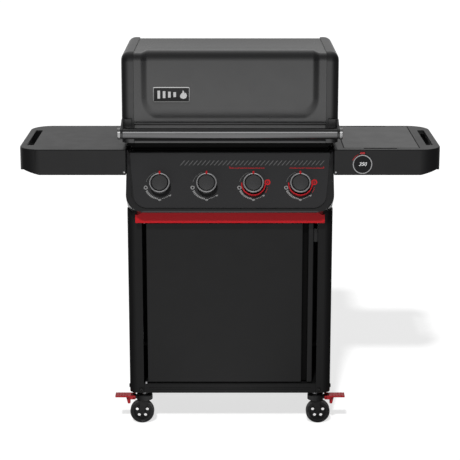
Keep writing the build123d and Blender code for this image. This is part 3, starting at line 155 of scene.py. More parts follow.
# %% Room
# how bright the room is, from in front of the grill (0) over the top (0.5) to behind it (1)
ARCH = ((0.0, 0.85), (0.035, 0.40), (0.12, 0.16), (0.26, 0.10), (0.5, 0.20), (0.76, 0.56),
        (0.985, 0.66), (1.0, 0.20))
room = bpy.data.worlds.new("studio_room")
room.use_nodes = True
scene.world = room
tree = room.node_tree
tree.nodes.clear()
sky_out = tree.nodes.new("ShaderNodeOutputWorld")
where = tree.nodes.new("ShaderNodeTexCoord")
share, split = side_share(tree, where.outputs["Generated"])
arch = tree.nodes.new("ShaderNodeValToRGB")
for _ in ARCH[2:]:
    arch.color_ramp.elements.new(0.5)
for stop, (position, level) in zip(arch.color_ramp.elements, ARCH):
    stop.position = position
    stop.color = (level, level, level, 1.0)
tree.links.new(mapped(tree, split["Y"], -1.0, 1.0, 0.0, 1.0), arch.inputs["Fac"])
dimmed = tree.nodes.new("ShaderNodeVectorMath")
dimmed.operation = "SCALE"
tree.links.new(arch.outputs["Color"], dimmed.inputs[0])
tree.links.new(share, dimmed.inputs["Scale"])
sky = tree.nodes.new("ShaderNodeBackground")
tree.links.new(dimmed.outputs[0], sky.inputs["Color"])
white = tree.nodes.new("ShaderNodeBackground")
white.inputs["Color"].default_value = (1.0, 1.0, 1.0, 1.0)
rays = tree.nodes.new("ShaderNodeLightPath")
choose = tree.nodes.new("ShaderNodeMixShader")
tree.links.new(rays.outputs["Is Camera Ray"], choose.inputs["Fac"])
tree.links.new(sky.outputs[0], choose.inputs[1])
tree.links.new(white.outputs[0], choose.inputs[2])
tree.links.new(choose.outputs[0], sky_out.inputs["Surface"])
print("levels in the arch of light:", len(ARCH))

# %% Sun
SUN_HEADING = Vector((0.15, 0.98, -1.0))
sun_data = bpy.data.lights.new("soft_sun", "SUN")
sun_data.energy = 2.2
sun_data.angle = math.radians(4.0)
sun = bpy.data.objects.new("soft_sun", sun_data)
sun.rotation_mode = "QUATERNION"
sun.rotation_quaternion = SUN_HEADING.to_track_quat("-Z", "Y")
sun.visible_glossy = False
scene.collection.objects.link(sun)
print("sun comes from", tuple(round(c, 2) for c in -SUN_HEADING.normalized()))

# %% [markdown]
# Two tricks that every studio uses. A card in front, above the camera, gives the round steel handle
# its bright streak and lights nothing else, as a small card held close would. And the floor on the
# left and the panel under the handle stay clean, because the left table and the handle are taken
# out of the sun's shadow, as a studio does with a second lamp from that side.

# %% Card for the handle, and the clean left side
card_data = bpy.data.lights.new("handle_card", "AREA")
card_data.shape = "RECTANGLE"
card_data.size = 3.4
card_data.size_y = 2.0
card_data.energy = 42.0
card = bpy.data.objects.new("handle_card", card_data)
card.location = (0.0, -3.6, 3.3)
card.rotation_euler = (math.radians(55.0), 0.0, 0.0)
card.visible_camera = False
card.visible_diffuse = False
scene.collection.objects.link(card)
CARD_LIT = bpy.data.collections.new("lit_by_the_card")
card.light_linking.receiver_collection = CARD_LIT
UNSHADED = bpy.data.collections.new("casts_no_sun_shadow")
sun.light_linking.blocker_collection = UNSHADED


def left_out_of_shadow(*objects):
    """Takes pieces out of the sun's shadow."""
    for obj in objects:
        UNSHADED.objects.link(obj)
        UNSHADED.collection_objects[-1].light_linking.link_state = "EXCLUDE"


print("the card measures", round(card_data.size, 2), "x", round(card_data.size_y, 2), "m")

# %% [markdown]
# ## Finishes
# No real finish is one flat colour. Each one here is a Principled shader with three layers of noise
# in the object's own coordinates: a fine one for the grain under the fingers, a broad one that
# shifts the colour a little, and another that makes some patches slightly duller. A constant is set
# on the shader's own socket. Noise needs no image files, has no resolution and never shows a seam.

# %% The builder of plain finishes
CLOUD_SCALE = 11.0
PATCH_SCALE = 23.0
SMOOTHEST = 0.02


def finish(name, colour, roughness, grain=0.7, depth=0.03, shift=0.06, patches=0.05, metallic=0.0,
           specular=0.5, ior=1.5, stretch=(1.0, 1.0, 1.0), pebble=0.0):
    """A noise-based finish. grain and pebble are sizes in mm, depth is the relief in mm."""
    made = bpy.data.materials.new(name)
    made.use_nodes = True
    nodes = made.node_tree.nodes
    links = made.node_tree.links
    shader = nodes["Principled BSDF"]
    shader.inputs["Metallic"].default_value = metallic
    shader.inputs["Specular IOR Level"].default_value = specular
    shader.inputs["IOR"].default_value = ior
    place = nodes.new("ShaderNodeTexCoord")
    drawn = nodes.new("ShaderNodeMapping")
    drawn.inputs["Scale"].default_value = stretch
    links.new(place.outputs["Object"], drawn.inputs["Vector"])
    # colour: a broad cloud between a darker and a lighter tone
    cloud = nodes.new("ShaderNodeTexNoise")
    cloud.inputs["Scale"].default_value = CLOUD_SCALE
    cloud.inputs["Detail"].default_value = 4.0
    links.new(place.outputs["Object"], cloud.inputs["Vector"])
    tone = nodes.new("ShaderNodeMix")
    tone.data_type = "RGBA"
    tone.inputs["A"].default_value = (*[c * (1.0 - shift) for c in colour], 1.0)
    tone.inputs["B"].default_value = (*[min(1.0, c * (1.0 + shift)) for c in colour], 1.0)
    links.new(cloud.outputs["Fac"], tone.inputs["Factor"])
    links.new(tone.outputs["Result"], shader.inputs["Base Color"])
    # roughness: duller patches
    patch = nodes.new("ShaderNodeTexNoise")
    patch.inputs["Scale"].default_value = PATCH_SCALE
    patch.inputs["Detail"].default_value = 3.0
    links.new(drawn.outputs["Vector"], patch.inputs["Vector"])
    dull = nodes.new("ShaderNodeMapRange")
    dull.inputs["To Min"].default_value = max(SMOOTHEST, roughness - patches)
    dull.inputs["To Max"].default_value = roughness + patches
    links.new(patch.outputs["Fac"], dull.inputs["Value"])
    links.new(dull.outputs["Result"], shader.inputs["Roughness"])
    # relief: the grain
    if pebble:
        fine = nodes.new("ShaderNodeTexVoronoi")
        fine.feature = "SMOOTH_F1"
        fine.inputs["Scale"].default_value = 1000.0 / pebble
        height_out = fine.outputs["Distance"]
    else:
        fine = nodes.new("ShaderNodeTexNoise")
        fine.inputs["Scale"].default_value = 1000.0 / grain
        fine.inputs["Detail"].default_value = 2.0
        height_out = fine.outputs["Fac"]
    links.new(drawn.outputs["Vector"], fine.inputs["Vector"])
    relief = nodes.new("ShaderNodeBump")
    relief.inputs["Strength"].default_value = 1.0
    relief.inputs["Distance"].default_value = depth * MM
    links.new(height_out, relief.inputs["Height"])
    links.new(relief.outputs["Normal"], shader.inputs["Normal"])
    return made


print("the grain is 0.7 mm wide and 0.03 mm deep unless a finish says otherwise")

# %% [markdown]
# ### The palette
# Porcelain enamel on the lid is glass: nearly black itself, but with a strong reflection, so it
# looks grey under a bright floor. The cart's powder coat is duller and reflects much less. The
# tables are moulded plastic with a fine pebble, and the handle is dark steel, brushed along its
# length, so its grain is stretched along X.

# %% Paints and enamels
FINISHES = {
    "lid_black": finish("lid_enamel", (0.015, 0.015, 0.0155), 0.25, grain=9.0, depth=0.008, ior=1.8,
                        shift=0.1),
    "cast_black": finish("cast_satin_black", (0.011, 0.011, 0.0115), 0.33, grain=1.6, depth=0.015,
                         ior=1.72),
    "cart_black": finish("cart_powder_coat", (0.009, 0.009, 0.0092), 0.42, grain=0.9, depth=0.02,
                         specular=0.16),
    "door_black": finish("door_powder_coat", (0.0092, 0.0092, 0.0095), 0.36, grain=1.1, depth=0.012,
                         specular=0.2),
    "enamel_black": finish("inner_enamel", (0.02, 0.02, 0.02), 0.3, grain=3.0, depth=0.03,
                           shift=0.15),
    "panel_black": finish("panel_fine_texture", (0.030, 0.030, 0.031), 0.5, grain=0.55, depth=0.03,
                          specular=0.35),
    "tray_red": finish("tray_red_paint", (0.50, 0.009, 0.015), 0.34, grain=1.2, depth=0.012,
                       specular=0.12),
    "dark_bolt": finish("black_oxide", (0.012, 0.012, 0.012), 0.35, grain=0.5, depth=0.01,
                        metallic=0.4),
}

# %% Plastics
FINISHES.update({
    "gloss_black": finish("bezel_gloss", (0.02, 0.02, 0.0205), 0.14, grain=12.0, depth=0.01,
                          patches=0.02),
    "table_grey": finish("table_moulding", (0.012, 0.012, 0.0125), 0.36, pebble=1.1, depth=0.03,
                         specular=0.29),
    "insert_grey": finish("board_moulding", (0.02, 0.02, 0.0205), 0.34, pebble=0.8, depth=0.02,
                          specular=0.55),
    "black_plastic": finish("matt_moulding", (0.011, 0.011, 0.0115), 0.45, pebble=0.9, depth=0.02,
                            specular=0.4),
    "knob_black": finish("knob_moulding", (0.010, 0.010, 0.0105), 0.4, grain=0.8, depth=0.015),
    "lens_black": finish("display_lens", (0.006, 0.006, 0.007), 0.1, grain=20.0, depth=0.004,
                         patches=0.02, specular=0.15),
    "button_red": finish("button_moulding", (0.42, 0.012, 0.018), 0.3, grain=1.0, depth=0.01),
    "lever_red": finish("pedal_moulding", (0.42, 0.010, 0.016), 0.36, grain=0.9, depth=0.02),
    "wheel_grey": finish("wheel_rubber", (0.042, 0.042, 0.043), 0.55, grain=0.7, depth=0.04,
                         shift=0.12),
    "ceramic": finish("glazed_ceramic", (0.75, 0.74, 0.70), 0.2, grain=4.0, depth=0.01, shift=0.03),
})

# %% Metals
FINISHES.update({
    "grate_iron": finish("enamelled_iron", (0.022, 0.021, 0.020), 0.45, grain=1.3, depth=0.12,
                         shift=0.2),
    "stainless": finish("burner_steel", (0.46, 0.45, 0.43), 0.3, grain=1.0, depth=0.02,
                        metallic=1.0, stretch=(1.0, 0.05, 1.0)),
    "handle_steel": finish("handle_dark_steel", (0.15, 0.15, 0.152), 0.15, grain=0.5, depth=0.006,
                           metallic=1.0, stretch=(0.02, 1.0, 1.0)),
    "cast_silver": finish("satin_silver", (0.55, 0.55, 0.55), 0.26, grain=0.6, depth=0.012,
                          metallic=1.0),
    "chrome_wire": finish("plated_wire", (0.62, 0.62, 0.62), 0.12, grain=3.0, depth=0.01,
                          metallic=1.0),
    "zinc_steel": finish("zinc_plate", (0.42, 0.42, 0.43), 0.34, grain=4.0, depth=0.01,
                         metallic=1.0, shift=0.14),
    "valve_brass": finish("machined_brass", (0.52, 0.37, 0.16), 0.27, grain=0.6, depth=0.01,
                          metallic=1.0),
    "foil": finish("bright_foil", (0.72, 0.72, 0.73), 0.25, grain=7.0, depth=0.25, metallic=1.0),
})

# %% Inks and small accents
INK = {
    "white": finish("print_light", (0.25, 0.25, 0.25), 0.5, grain=0.5, depth=0.01),
    "grey": finish("print_grey", (0.13, 0.13, 0.13), 0.5, grain=0.5, depth=0.01),
    "red": finish("print_red", (0.50, 0.015, 0.02), 0.45, grain=0.5, depth=0.01),
    "face": finish("knob_face_grey", (0.045, 0.045, 0.046), 0.4, grain=0.5, depth=0.015),
    "silver": finish("knob_ring_silver", (0.42, 0.42, 0.425), 0.35, grain=0.4, depth=0.008,
                     metallic=0.5),
    # painted shade: a near-black that stands in for the shade in the firebox, inside the door's finger channel and
    # down in the gaps round the board
    "painted_shade": finish("shaded_black", (0.0025, 0.0025, 0.0025), 0.6, grain=1.0, depth=0.02,
                   specular=0.08),
    "digit": finish("lit_digit", (0.8, 0.8, 0.8), 0.4, grain=0.5, depth=0.001),
}
digit_shader = INK["digit"].node_tree.nodes["Principled BSDF"]
digit_shader.inputs["Emission Color"].default_value = (0.9, 0.92, 0.95, 1.0)
digit_shader.inputs["Emission Strength"].default_value = 0.25
for node, part in frame["nodes"].items():
    for index, given in enumerate(part.data.materials):
        part.data.materials[index] = FINISHES[given.name.split(".")[0]]
print("finishes:", len(FINISHES) + len(INK))

# %% [markdown]
# ## Making and placing pieces
# Every new piece is a bmesh that becomes one object at the origin, with its place in its mesh. It
# rides on a body of the frame, names the slot of its finish, and hides the frame's own piece where
# it stands for one.

# %% Helpers that place a piece
def piece(name, bm, made_of, body, stands_for=(), sharp=38.0):
    """Turns a bmesh into a finished object that rides on a body."""
    mesh = bpy.data.meshes.new(name)
    bm.to_mesh(mesh)
    bm.free()
    mesh.materials.append(made_of)
    mesh.shade_smooth()
    mesh.set_sharp_from_angle(angle=math.radians(sharp))
    obj = bpy.data.objects.new(name, mesh)
    scene.collection.objects.link(obj)
    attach(obj, body)
    if stands_for:
        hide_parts(*stands_for)
    return obj


def block(bm, low, high, place=Matrix.Identity(4)):
    """A box between two corners, in mm, then put in place."""
    size = Vector(high) - Vector(low)
    middle = (Vector(high) + Vector(low)) / 2
    shape = Matrix.Translation(middle * MM) @ Matrix.Diagonal((*(size * MM), 1.0))
    return bmesh.ops.create_cube(bm, size=1.0, matrix=place @ shape)["verts"]


def rounded(bm, edges, radius, segments=2):
    """Rounds the given edges by a radius in mm."""
    return bmesh.ops.bevel(bm, geom=edges, offset=radius * MM, offset_type="OFFSET",
                           segments=segments, profile=0.5, affect="EDGES", material=-1,
                           clamp_overlap=False)


def edges_along(bm, direction):
    """The edges that run along a direction."""
    runs = {e: (e.verts[0].co - e.verts[1].co).normalized() for e in bm.edges}
    return [edge for edge, run in runs.items() if abs(run.dot(direction)) > 0.9]


print("helpers ready: piece, block, rounded, edges_along")

# %% [markdown]
# ### Breaking the edges
# A folded sheet or a moulding never has a razor edge: the small radius catches a thin line of
# light, and that line tells the eye that the piece is real. The frame's pieces have sharp edges, so
# a copy of each is merged, its flat faces are joined up, and every corner steeper than a few tens
# of degrees gets a narrow bevel. A weighted normal keeps the large faces flat while the bevel turns
# the light.

# %% Helper that breaks edges
def softened(node, radius, slot, segments=2, pick=None, steep=35.0, made_of=None):
    """A copy of a frame piece with its sharp edges rounded, in its place."""
    bm = bmesh.new()
    bm.from_mesh(frame["nodes"][node].data)
    bmesh.ops.remove_doubles(bm, verts=bm.verts, dist=1e-5)
    bmesh.ops.dissolve_limit(bm, angle_limit=math.radians(1.0), use_dissolve_boundaries=False,
                             verts=bm.verts, edges=bm.edges, delimit={"NORMAL"})
    chosen = [e for e in bm.edges if e.is_manifold and e.calc_face_angle(0.0) > math.radians(steep)]
    if pick:
        chosen = [e for e in chosen if pick(e)]
    rounded(bm, chosen, radius, segments)
    obj = piece(f"{node}_soft", bm, made_of or FINISHES[slot], body_of[node], (node,),
                sharp=60.0)
    weigh = obj.modifiers.new("flat_faces", "WEIGHTED_NORMAL")
    weigh.keep_sharp = True
    return obj


# radius of the softened edges in mm, and the slot of the finish
SOFT = {
    "cart_side_left": (0.9, "cart_black"), "cart_side_right": (0.9, "cart_black"),
    "cart_rails": (0.8, "cart_black"),
    "door_panel": (0.9, "door_black"), "door_handle": (0.8, "door_black"),
    "tray_front": (0.9, "tray_red"),
    "side_table_left": (1.0, "table_grey"), "side_table_right": (1.0, "table_grey"),
    "prep_insert": (1.2, "insert_grey"), "control_panel": (0.8, "panel_black"),
    "lid_handle_brackets": (0.9, "cast_silver"),
    "brake_lever_left": (0.6, "lever_red"), "brake_lever_right": (0.6, "lever_red"),
    "display_button": (0.6, "button_red"), "tool_rails": (0.7, "black_plastic"),
}
soft_copies = {node: softened(node, radius, slot) for node, (radius, slot) in SOFT.items()}
handle_tube = frame["nodes"]["lid_handle_tube"]
CARD_LIT.objects.link(handle_tube)
left_out_of_shadow(soft_copies["side_table_left"], soft_copies["tool_rails"],
                   frame["nodes"]["table_arms"], soft_copies["lid_handle_brackets"], handle_tube)
soft_copies["lid_handle_brackets"].data.materials[0] = FINISHES["cast_black"]
# the firebox is painted near-black: painted shade for the shadow under the lid
softened("cookbox", 1.0, "cast_black", made_of=INK["painted_shade"])
# the inside of the door's finger channel is painted near-black: painted shade in the recess
CHANNEL_DEPTH = 4.0
pull = soft_copies["door_handle"]
pull.data.materials.append(INK["painted_shade"])
pull_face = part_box("door_handle")[0].y
for polygon in pull.data.polygons:
    if polygon.center.y > pull_face + CHANNEL_DEPTH * MM:
        polygon.material_index = 1
print("edges broken on", len(SOFT) + 1, "pieces")

# %% [markdown]
# ## The glossy surround of the control panel
# On the real grill this is one glossy moulding that wraps the sloping panel, with a full round
# along its outer edge. Only that edge, where the front face meets the outside, gets the radius. The
# rest stays as it is.

# %% Panel plane, and the surround
turn_one = next(j for j in frame["joints"] if j["name"] == "burner_turn_1")
turn_four = next(j for j in frame["joints"] if j["name"] == "burner_turn_4")
panel_out = Vector(turn_one["axis"]).normalized()
panel_up = panel_out.cross(Vector((1, 0, 0))).normalized()
if panel_up.z < 0:
    panel_up = -panel_up
KNOB_DROP = 13.0
knob_pitch = (turn_four["pos_m"][0] - turn_one["pos_m"][0]) / 3
panel_mid = Vector(turn_one["pos_m"]) + panel_up * KNOB_DROP * MM
panel_mid.x = 0.0


def on_panel(x=0.0, up=0.0, out=0.0):
    """The place of a point on the panel's face, in mm, as a matrix whose Z stands off the face."""
    origin = panel_mid + Vector((x * MM, 0, 0)) + panel_up * up * MM + panel_out * out * MM
    turn = Matrix(((1, 0, 0), panel_up, panel_out)).transposed().to_4x4()
    return Matrix.Translation(origin) @ turn


PANEL_OFF = on_panel().inverted()
BEZEL_FACE = 4.0
RIM_X, RIM_LOW = 317.0, -100.0
CORNER_X, CORNER_UP, CORNER_DIAGONAL = 296.0, -60.0, 366.0


def on_outer_rim(edge):
    """Edges of the surround's front face along its outside, with its two rounded lower corners."""
    ends = [PANEL_OFF @ v.co / MM for v in edge.verts]
    if any(abs(p.z - BEZEL_FACE) > 0.3 for p in ends):
        return False
    return all(abs(p.x) > RIM_X or p.y < RIM_LOW
               or (abs(p.x) > CORNER_X and p.y < CORNER_UP and abs(p.x) - p.y > CORNER_DIAGONAL)
               for p in ends)


softened("control_bezel", 5.5, "gloss_black", segments=5, pick=on_outer_rim)
print("panel leans back by", round(math.degrees(math.acos(panel_up.z)), 1), "degrees")

# %% [markdown]
# ## The pressed lid
# A lid like this is one sheet of steel, bent over a large radius and pressed so that its middle
# stands proud. The section is a few vertices joined by a wire. Its corners are rounded, the wire is
# pulled sideways into a sheet, column by column, and the raised field then moves each vertex out
# along its own normal. The columns and rows are close together only where the field's flanks are,
# so the sheet stays light.

# %% Section of the lid
lid_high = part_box("lid_skin")[1]
FIELD_H = 8.0
FIELD_LEAN = 2.6
LID_HALF = lid_high.x / MM
FRONT_FOOT = (-196.0, 973.0)
CREASE = (-188.0, lid_high.z / MM - FIELD_H)
LID_REAR = lid_high.y / MM
REAR = (LID_REAR - 12.0, CREASE[1] - 1.0)
CREASE_R, REAR_R = 24.0, 58.0
FIELD_FOOT, FIELD_RAMP = 1026.0, 39.0
FIELD_BACK, FIELD_FADE = -112.0, 34.0


def between(start, end, share):
    """A point on the line from start to end."""
    return tuple(a + (b - a) * share for a, b in zip(start, end))


# each point of the section is (y, z, radius of its corner)
section = [(-190.0, 913.0, 0), (-190.0, 920.0, 2.5), (-178.0, 924.0, 3), (-178.0, 966.0, 3),
           (*FRONT_FOOT, 4)]
FLANK_ROWS, EXTRA_ROWS, ROW_MARGIN = 16, 5, 8.0
for row in range(1, FLANK_ROWS + EXTRA_ROWS + 1):
    z = FIELD_FOOT - FIELD_RAMP - ROW_MARGIN + row * (FIELD_RAMP + 2 * ROW_MARGIN) / FLANK_ROWS
    share = (z - FRONT_FOOT[1]) / (CREASE[1] - FRONT_FOOT[1])
    section.append((*between(FRONT_FOOT, CREASE, share), 0))
section.append((*CREASE, CREASE_R))
TOP_ROWS, TOP_STEP, TOP_BEFORE = 14, 8.0, 38.0
for row in range(TOP_ROWS):
    y = FIELD_BACK - TOP_BEFORE + row * TOP_STEP
    section.append((*between(CREASE, REAR, (y - CREASE[0]) / (REAR[0] - CREASE[0])), 0))
section += [(*REAR, REAR_R), (LID_REAR, 942.0, 0)]

bm = bmesh.new()
wire = [bm.verts.new((-LID_HALF * MM, y * MM, z * MM)) for y, z, _ in section]
for a, b in zip(wire, wire[1:]):
    bm.edges.new((a, b))
for vertex, (_, _, radius) in zip(wire, section):
    if not radius:
        continue
    legs = [e.other_vert(vertex).co - vertex.co for e in vertex.link_edges]
    turn = math.pi - legs[0].angle(legs[1])
    bmesh.ops.bevel(bm, geom=[vertex], offset=radius * MM * math.tan(turn / 2),
                    offset_type="OFFSET", segments=10 if radius > 10 else 3, profile=0.5,
                    affect="VERTICES", material=-1)
print("section points:", len(bm.verts))

# %% Sheet, raised field and thickness
FIELD_HALF = 249.5
FIELD_FLANK = 21.5
FIELD_R = 27.0
FLANK_SOFT, FLANK_STRAIGHT = 0.16, 0.75
LID_SHEET = 1.6
HALF_COLUMNS = [0, 75, 150, 200, 218, 224, 229, 234, 239, 243, 247, 250, 253, 256, 259, 262, 265,
                268, 271, 274, 280, 287, LID_HALF]
columns = [-x for x in reversed(HALF_COLUMNS)] + HALF_COLUMNS[1:]


def clamped(value):
    """The value, kept between 0 and 1."""
    return min(1.0, max(0.0, value))


def field_height(x, along):
    """How far the raised field stands out, from 0 to 1.

    along is negative below the field's foot on the front, and positive behind its rear edge on top.
    """
    ramp = FIELD_RAMP if along < 0 else FIELD_FADE
    beyond = abs(along)
    aside = max(abs(x) - (FIELD_HALF - FIELD_R), 0.0)
    reach = math.hypot(aside, beyond)
    if reach < 1e-6:
        return 1.0
    outer = 1.0 / math.hypot(aside / reach / (FIELD_R + FIELD_FLANK),
                             beyond / reach / (FIELD_R + ramp))
    t = clamped((reach - FIELD_R) / (outer - FIELD_R))
    straight = clamped((t - FLANK_SOFT / 2) / (1 - FLANK_SOFT))
    curved = t * t * (3 - 2 * t)
    return 1.0 - (straight * FLANK_STRAIGHT + curved * (1 - FLANK_STRAIGHT))


strip = list(bm.edges)
for near, far in zip(columns, columns[1:]):
    grown = bmesh.ops.extrude_edge_only(bm, edges=strip)["geom"]
    moved = [g for g in grown if isinstance(g, bmesh.types.BMVert)]
    edges = [g for g in grown if isinstance(g, bmesh.types.BMEdge)]
    strip = [e for e in edges if all(v in moved for v in e.verts)]
    bmesh.ops.translate(bm, verts=moved, vec=((far - near) * MM, 0, 0))
bmesh.ops.recalc_face_normals(bm, faces=bm.faces)
FRONT_MIDDLE = Vector((0.0, -0.192, 1.08))
middle = min(bm.faces, key=lambda f: (f.calc_center_median() - FRONT_MIDDLE).length)
if middle.normal.y > 0:
    bmesh.ops.reverse_faces(bm, faces=bm.faces)
bm.normal_update()
FIELD_BEHIND, FIELD_BELOW = 20.0, 975.0
raised = {}
for vertex in bm.verts:
    x, y, z = vertex.co / MM
    if y > FIELD_BEHIND or z < FIELD_BELOW:
        continue
    if vertex.normal.z < 0.5:
        along = min(0.0, z - (FIELD_FOOT + FIELD_R))
    else:
        along = max(0.0, y - (FIELD_BACK - FIELD_R))
    share = field_height(x, along)
    if share > 0:
        up = clamped((z - FIELD_FOOT) / (CREASE[1] - FIELD_FOOT))
        raised[vertex] = vertex.normal * share * (FIELD_H - (1.0 - up) * FIELD_LEAN) * MM
for vertex, step in raised.items():
    vertex.co += step
bmesh.ops.solidify(bm, geom=bm.faces, thickness=LID_SHEET * MM)
piece("lid_pressing", bm, FINISHES["lid_black"], "lid", ("lid_skin",), sharp=50.0)
print("raised vertices:", len(raised))

# %% [markdown]
# ## Cast ends of the lid
# The end castings close the lid. They are right as they are, and only need their edges broken.

# %% End castings
for side in ("left", "right"):
    casting = softened(f"lid_end_cap_{side}", 1.0, "cast_black", steep=50.0)
    print(casting.name, "has", len(casting.data.polygons), "faces")

# %% [markdown]
# ## Turned pieces
# A knob is a body of revolution, so it is a profile of a few points spun about its axis. The same
# helper makes the silver ring, the knob's face, the ribbed ends of the handle and the bolt heads.
# Each has its own material, because on the real knob they are separate parts pressed together.

# %% Helper that spins a profile
def turned(bm, profile, place, steps=64):
    """Spins (radius, height) points, in mm, about Z of the given place.

    A closed ring repeats its first point.
    """
    line = [bm.verts.new((r * MM, 0, h * MM)) for r, h in profile]
    edges = [bm.edges.new(pair) for pair in zip(line, line[1:])]
    bmesh.ops.spin(bm, geom=line + edges, cent=(0, 0, 0), axis=(0, 0, 1), angle=math.tau,
                   steps=steps, use_merge=True, use_duplicate=False)
    # everything that hangs together with the profile belongs to this piece
    spun = dict.fromkeys(line)
    waiting = list(line)
    while waiting:
        vertex = waiting.pop()
        for edge in vertex.link_edges:
            other = edge.other_vert(vertex)
            if other not in spun:
                spun[other] = None
                waiting.append(other)
    bmesh.ops.remove_doubles(bm, verts=list(spun), dist=1e-6)
    kept = [v for v in spun if v.is_valid]
    faces = dict.fromkeys(f for v in kept for f in v.link_faces)
    bmesh.ops.recalc_face_normals(bm, faces=list(faces))
    bmesh.ops.transform(bm, matrix=place, verts=kept)


# %% Knobs
KNOB_BODY = [(0, 25.2), (24.2, 25.2), (24.2, 26.2), (24.9, 26.9), (27.0, 26.9), (27.4, 21.3),
             (28.2, 20.4), (27.4, 12.0), (28.6, 7.0), (30.0, 6.2), (30.0, 5.2), (4.2, 5.0),
             (4.2, 24.8), (0, 24.8)]
KNOB_RING = [(27.5, 21.6), (30.6, 21.6), (31.3, 22.3), (31.3, 26.4), (30.6, 27.6), (28.9, 28.0),
             (27.5, 27.0), (27.5, 21.6)]
KNOB_STEPS = 72
POINTER_LOW, POINTER_HIGH = (-3.0, 27.0, 23.0), (3.0, 37.0, 28.8)
POINTER_END_R, POINTER_EDGE_R = 2.7, 0.7
KNOB_FACE = [(0, 27.1), (22.6, 27.1), (23.6, 26.5), (23.8, 25.3), (0, 25.3)]
for number in range(1, 5):
    joint = next(j for j in frame["joints"] if j["name"] == f"burner_turn_{number}")
    place = on_panel(joint["pos_m"][0] / MM, -KNOB_DROP)
    body = f"knob_{number}"
    bm = bmesh.new()
    turned(bm, KNOB_BODY, place, KNOB_STEPS)
    piece(f"knob_body_{number}", bm, FINISHES["knob_black"], body, (body,))
    bm = bmesh.new()
    turned(bm, KNOB_RING, place, KNOB_STEPS)
    piece(f"knob_ring_{number}", bm, INK["silver"], body)
    bm = bmesh.new()
    turned(bm, KNOB_FACE, place, KNOB_STEPS)
    piece(f"knob_face_{number}", bm, INK["face"], body)
    # the pointer is a red bar with round ends, let into the ring
    bm = bmesh.new()
    block(bm, POINTER_LOW, POINTER_HIGH, place)
    upright = edges_along(bm, panel_out)
    rounded(bm, upright, POINTER_END_R, 4)
    lip = [e for e in bm.edges if e.calc_face_angle(0.0) > 0.9]
    rounded(bm, lip, POINTER_EDGE_R, 2)
    piece(f"knob_pointer_{number}", bm, FINISHES["button_red"], body)
print("knob pitch", round(knob_pitch / MM, 1), "mm")

# %% [markdown]
# ## Prints on the panel
# The marks round the knobs are printed in ink. Each is a very thin solid, a tenth of a millimetre
# thick, cut as sectors of a ring: one quad spun through part of a turn. The long wedge gets thinner
# in steps, from high to low heat, and the two burners with an extra setting have a red trim wall.
# Words are left out.

# %% Helpers for printed marks
INK_T = 0.12
INK_OFF = 0.02


def sector(bm, inner, outer, start, end, place, height=INK_T):
    """Part of a flat ring, between two angles in degrees, counted from the right."""
    steps = max(1, round(abs(end - start) / 5))
    first = Matrix.Rotation(math.radians(start), 4, "Z")
    corners = [(inner, 0), (outer, 0), (outer, height), (inner, height)]
    quad = [bm.verts.new(first @ Vector((r * MM, 0, h * MM))) for r, h in corners]
    face = bm.faces.new(quad)
    before = set(bm.verts)
    bmesh.ops.spin(bm, geom=[face, *face.edges, *quad], cent=(0, 0, 0), axis=(0, 0, 1),
                   angle=math.radians(end - start), steps=steps)
    new = [v for v in bm.verts if v not in before] + quad
    faces = dict.fromkeys(f for v in new for f in v.link_faces)
    bmesh.ops.recalc_face_normals(bm, faces=list(faces))
    bmesh.ops.transform(bm, matrix=place, verts=new)


def hoop(bm, inner, outer, place):
    """A flat printed ring, or a dot when inner is 0."""
    profile = [(inner, 0), (outer, 0), (outer, INK_T), (inner, INK_T)]
    if inner:
        profile.append(profile[0])
    turned(bm, profile, place, 32)


def around(place, radius, degrees):
    """A place on a circle about another."""
    angle = math.radians(degrees)
    offset = Vector((math.cos(angle), math.sin(angle), 0)) * radius * MM
    return place @ Matrix.Translation(offset)


print("ink is", INK_T, "mm thick")

# %% Dials
DIAL_R = 43.5
ARC_FROM, ARC_TO, ARC_HALF = 108, 166, 0.6
CIRCLE_AT, CIRCLE_INNER, CIRCLE_OUTER = 190, 3.2, 6.4
WEDGE_FROM, WEDGE_STEP, WEDGE_LENGTH, WEDGE_COUNT = 203, 6.8, 5.4, 9
WEDGE_HALF, WEDGE_LESS = 3.5, 0.16
DISC_OUT, DISC_R, DISC_HUB = 1.0, 5.4, 0.05
DASH_FROM, DASH_STEP, DASH_LENGTH, DASH_COUNT, DASH_HALF = 280, 5.2, 3.6, 5, 1.1
LAST_AT, LAST_R = 314, 4.4
RED_AT, RED_OUT, RED_DOT, RED_INNER, RED_OUTER = 13, 1.0, 2.2, 5.0, 9.2
RED_FROM, RED_STEP, RED_LENGTH, RED_COUNT, RED_HALF = 328, 6.4, 4, 4, 0.8
hubs = [on_panel((index - 1.5) * knob_pitch / MM, -KNOB_DROP, INK_OFF) for index in range(4)]
grey = bmesh.new()
light = bmesh.new()
red = bmesh.new()
for hub in hubs:
    sector(grey, DIAL_R - ARC_HALF, DIAL_R + ARC_HALF, ARC_FROM, ARC_TO, hub)
    hoop(light, CIRCLE_INNER, CIRCLE_OUTER, around(hub, DIAL_R, CIRCLE_AT))
    for step in range(WEDGE_COUNT):
        start = WEDGE_FROM + step * WEDGE_STEP
        half = WEDGE_HALF - step * WEDGE_LESS
        sector(light, DIAL_R - half, DIAL_R + half, start, start + WEDGE_LENGTH, hub)
    sector(light, DISC_HUB, DISC_R, 180, 360, around(hub, DIAL_R + DISC_OUT, 270))
    for step in range(DASH_COUNT):
        start = DASH_FROM + step * DASH_STEP
        sector(light, DIAL_R - DASH_HALF, DIAL_R + DASH_HALF, start, start + DASH_LENGTH, hub)
    sector(light, DISC_HUB, LAST_R, 200, 380, around(hub, DIAL_R, LAST_AT))
for hub in hubs[2:]:
    spot = around(hub, DIAL_R + RED_OUT, RED_AT)
    hoop(red, RED_INNER, RED_OUTER, spot)
    hoop(red, 0, RED_DOT, spot)
    for step in range(RED_COUNT):
        start = RED_FROM + step * RED_STEP
        sector(red, DIAL_R - RED_HALF, DIAL_R + RED_HALF, start, start + RED_LENGTH, hub)
print("dials:", len(hubs), "of them with an extra setting:", len(hubs[2:]))

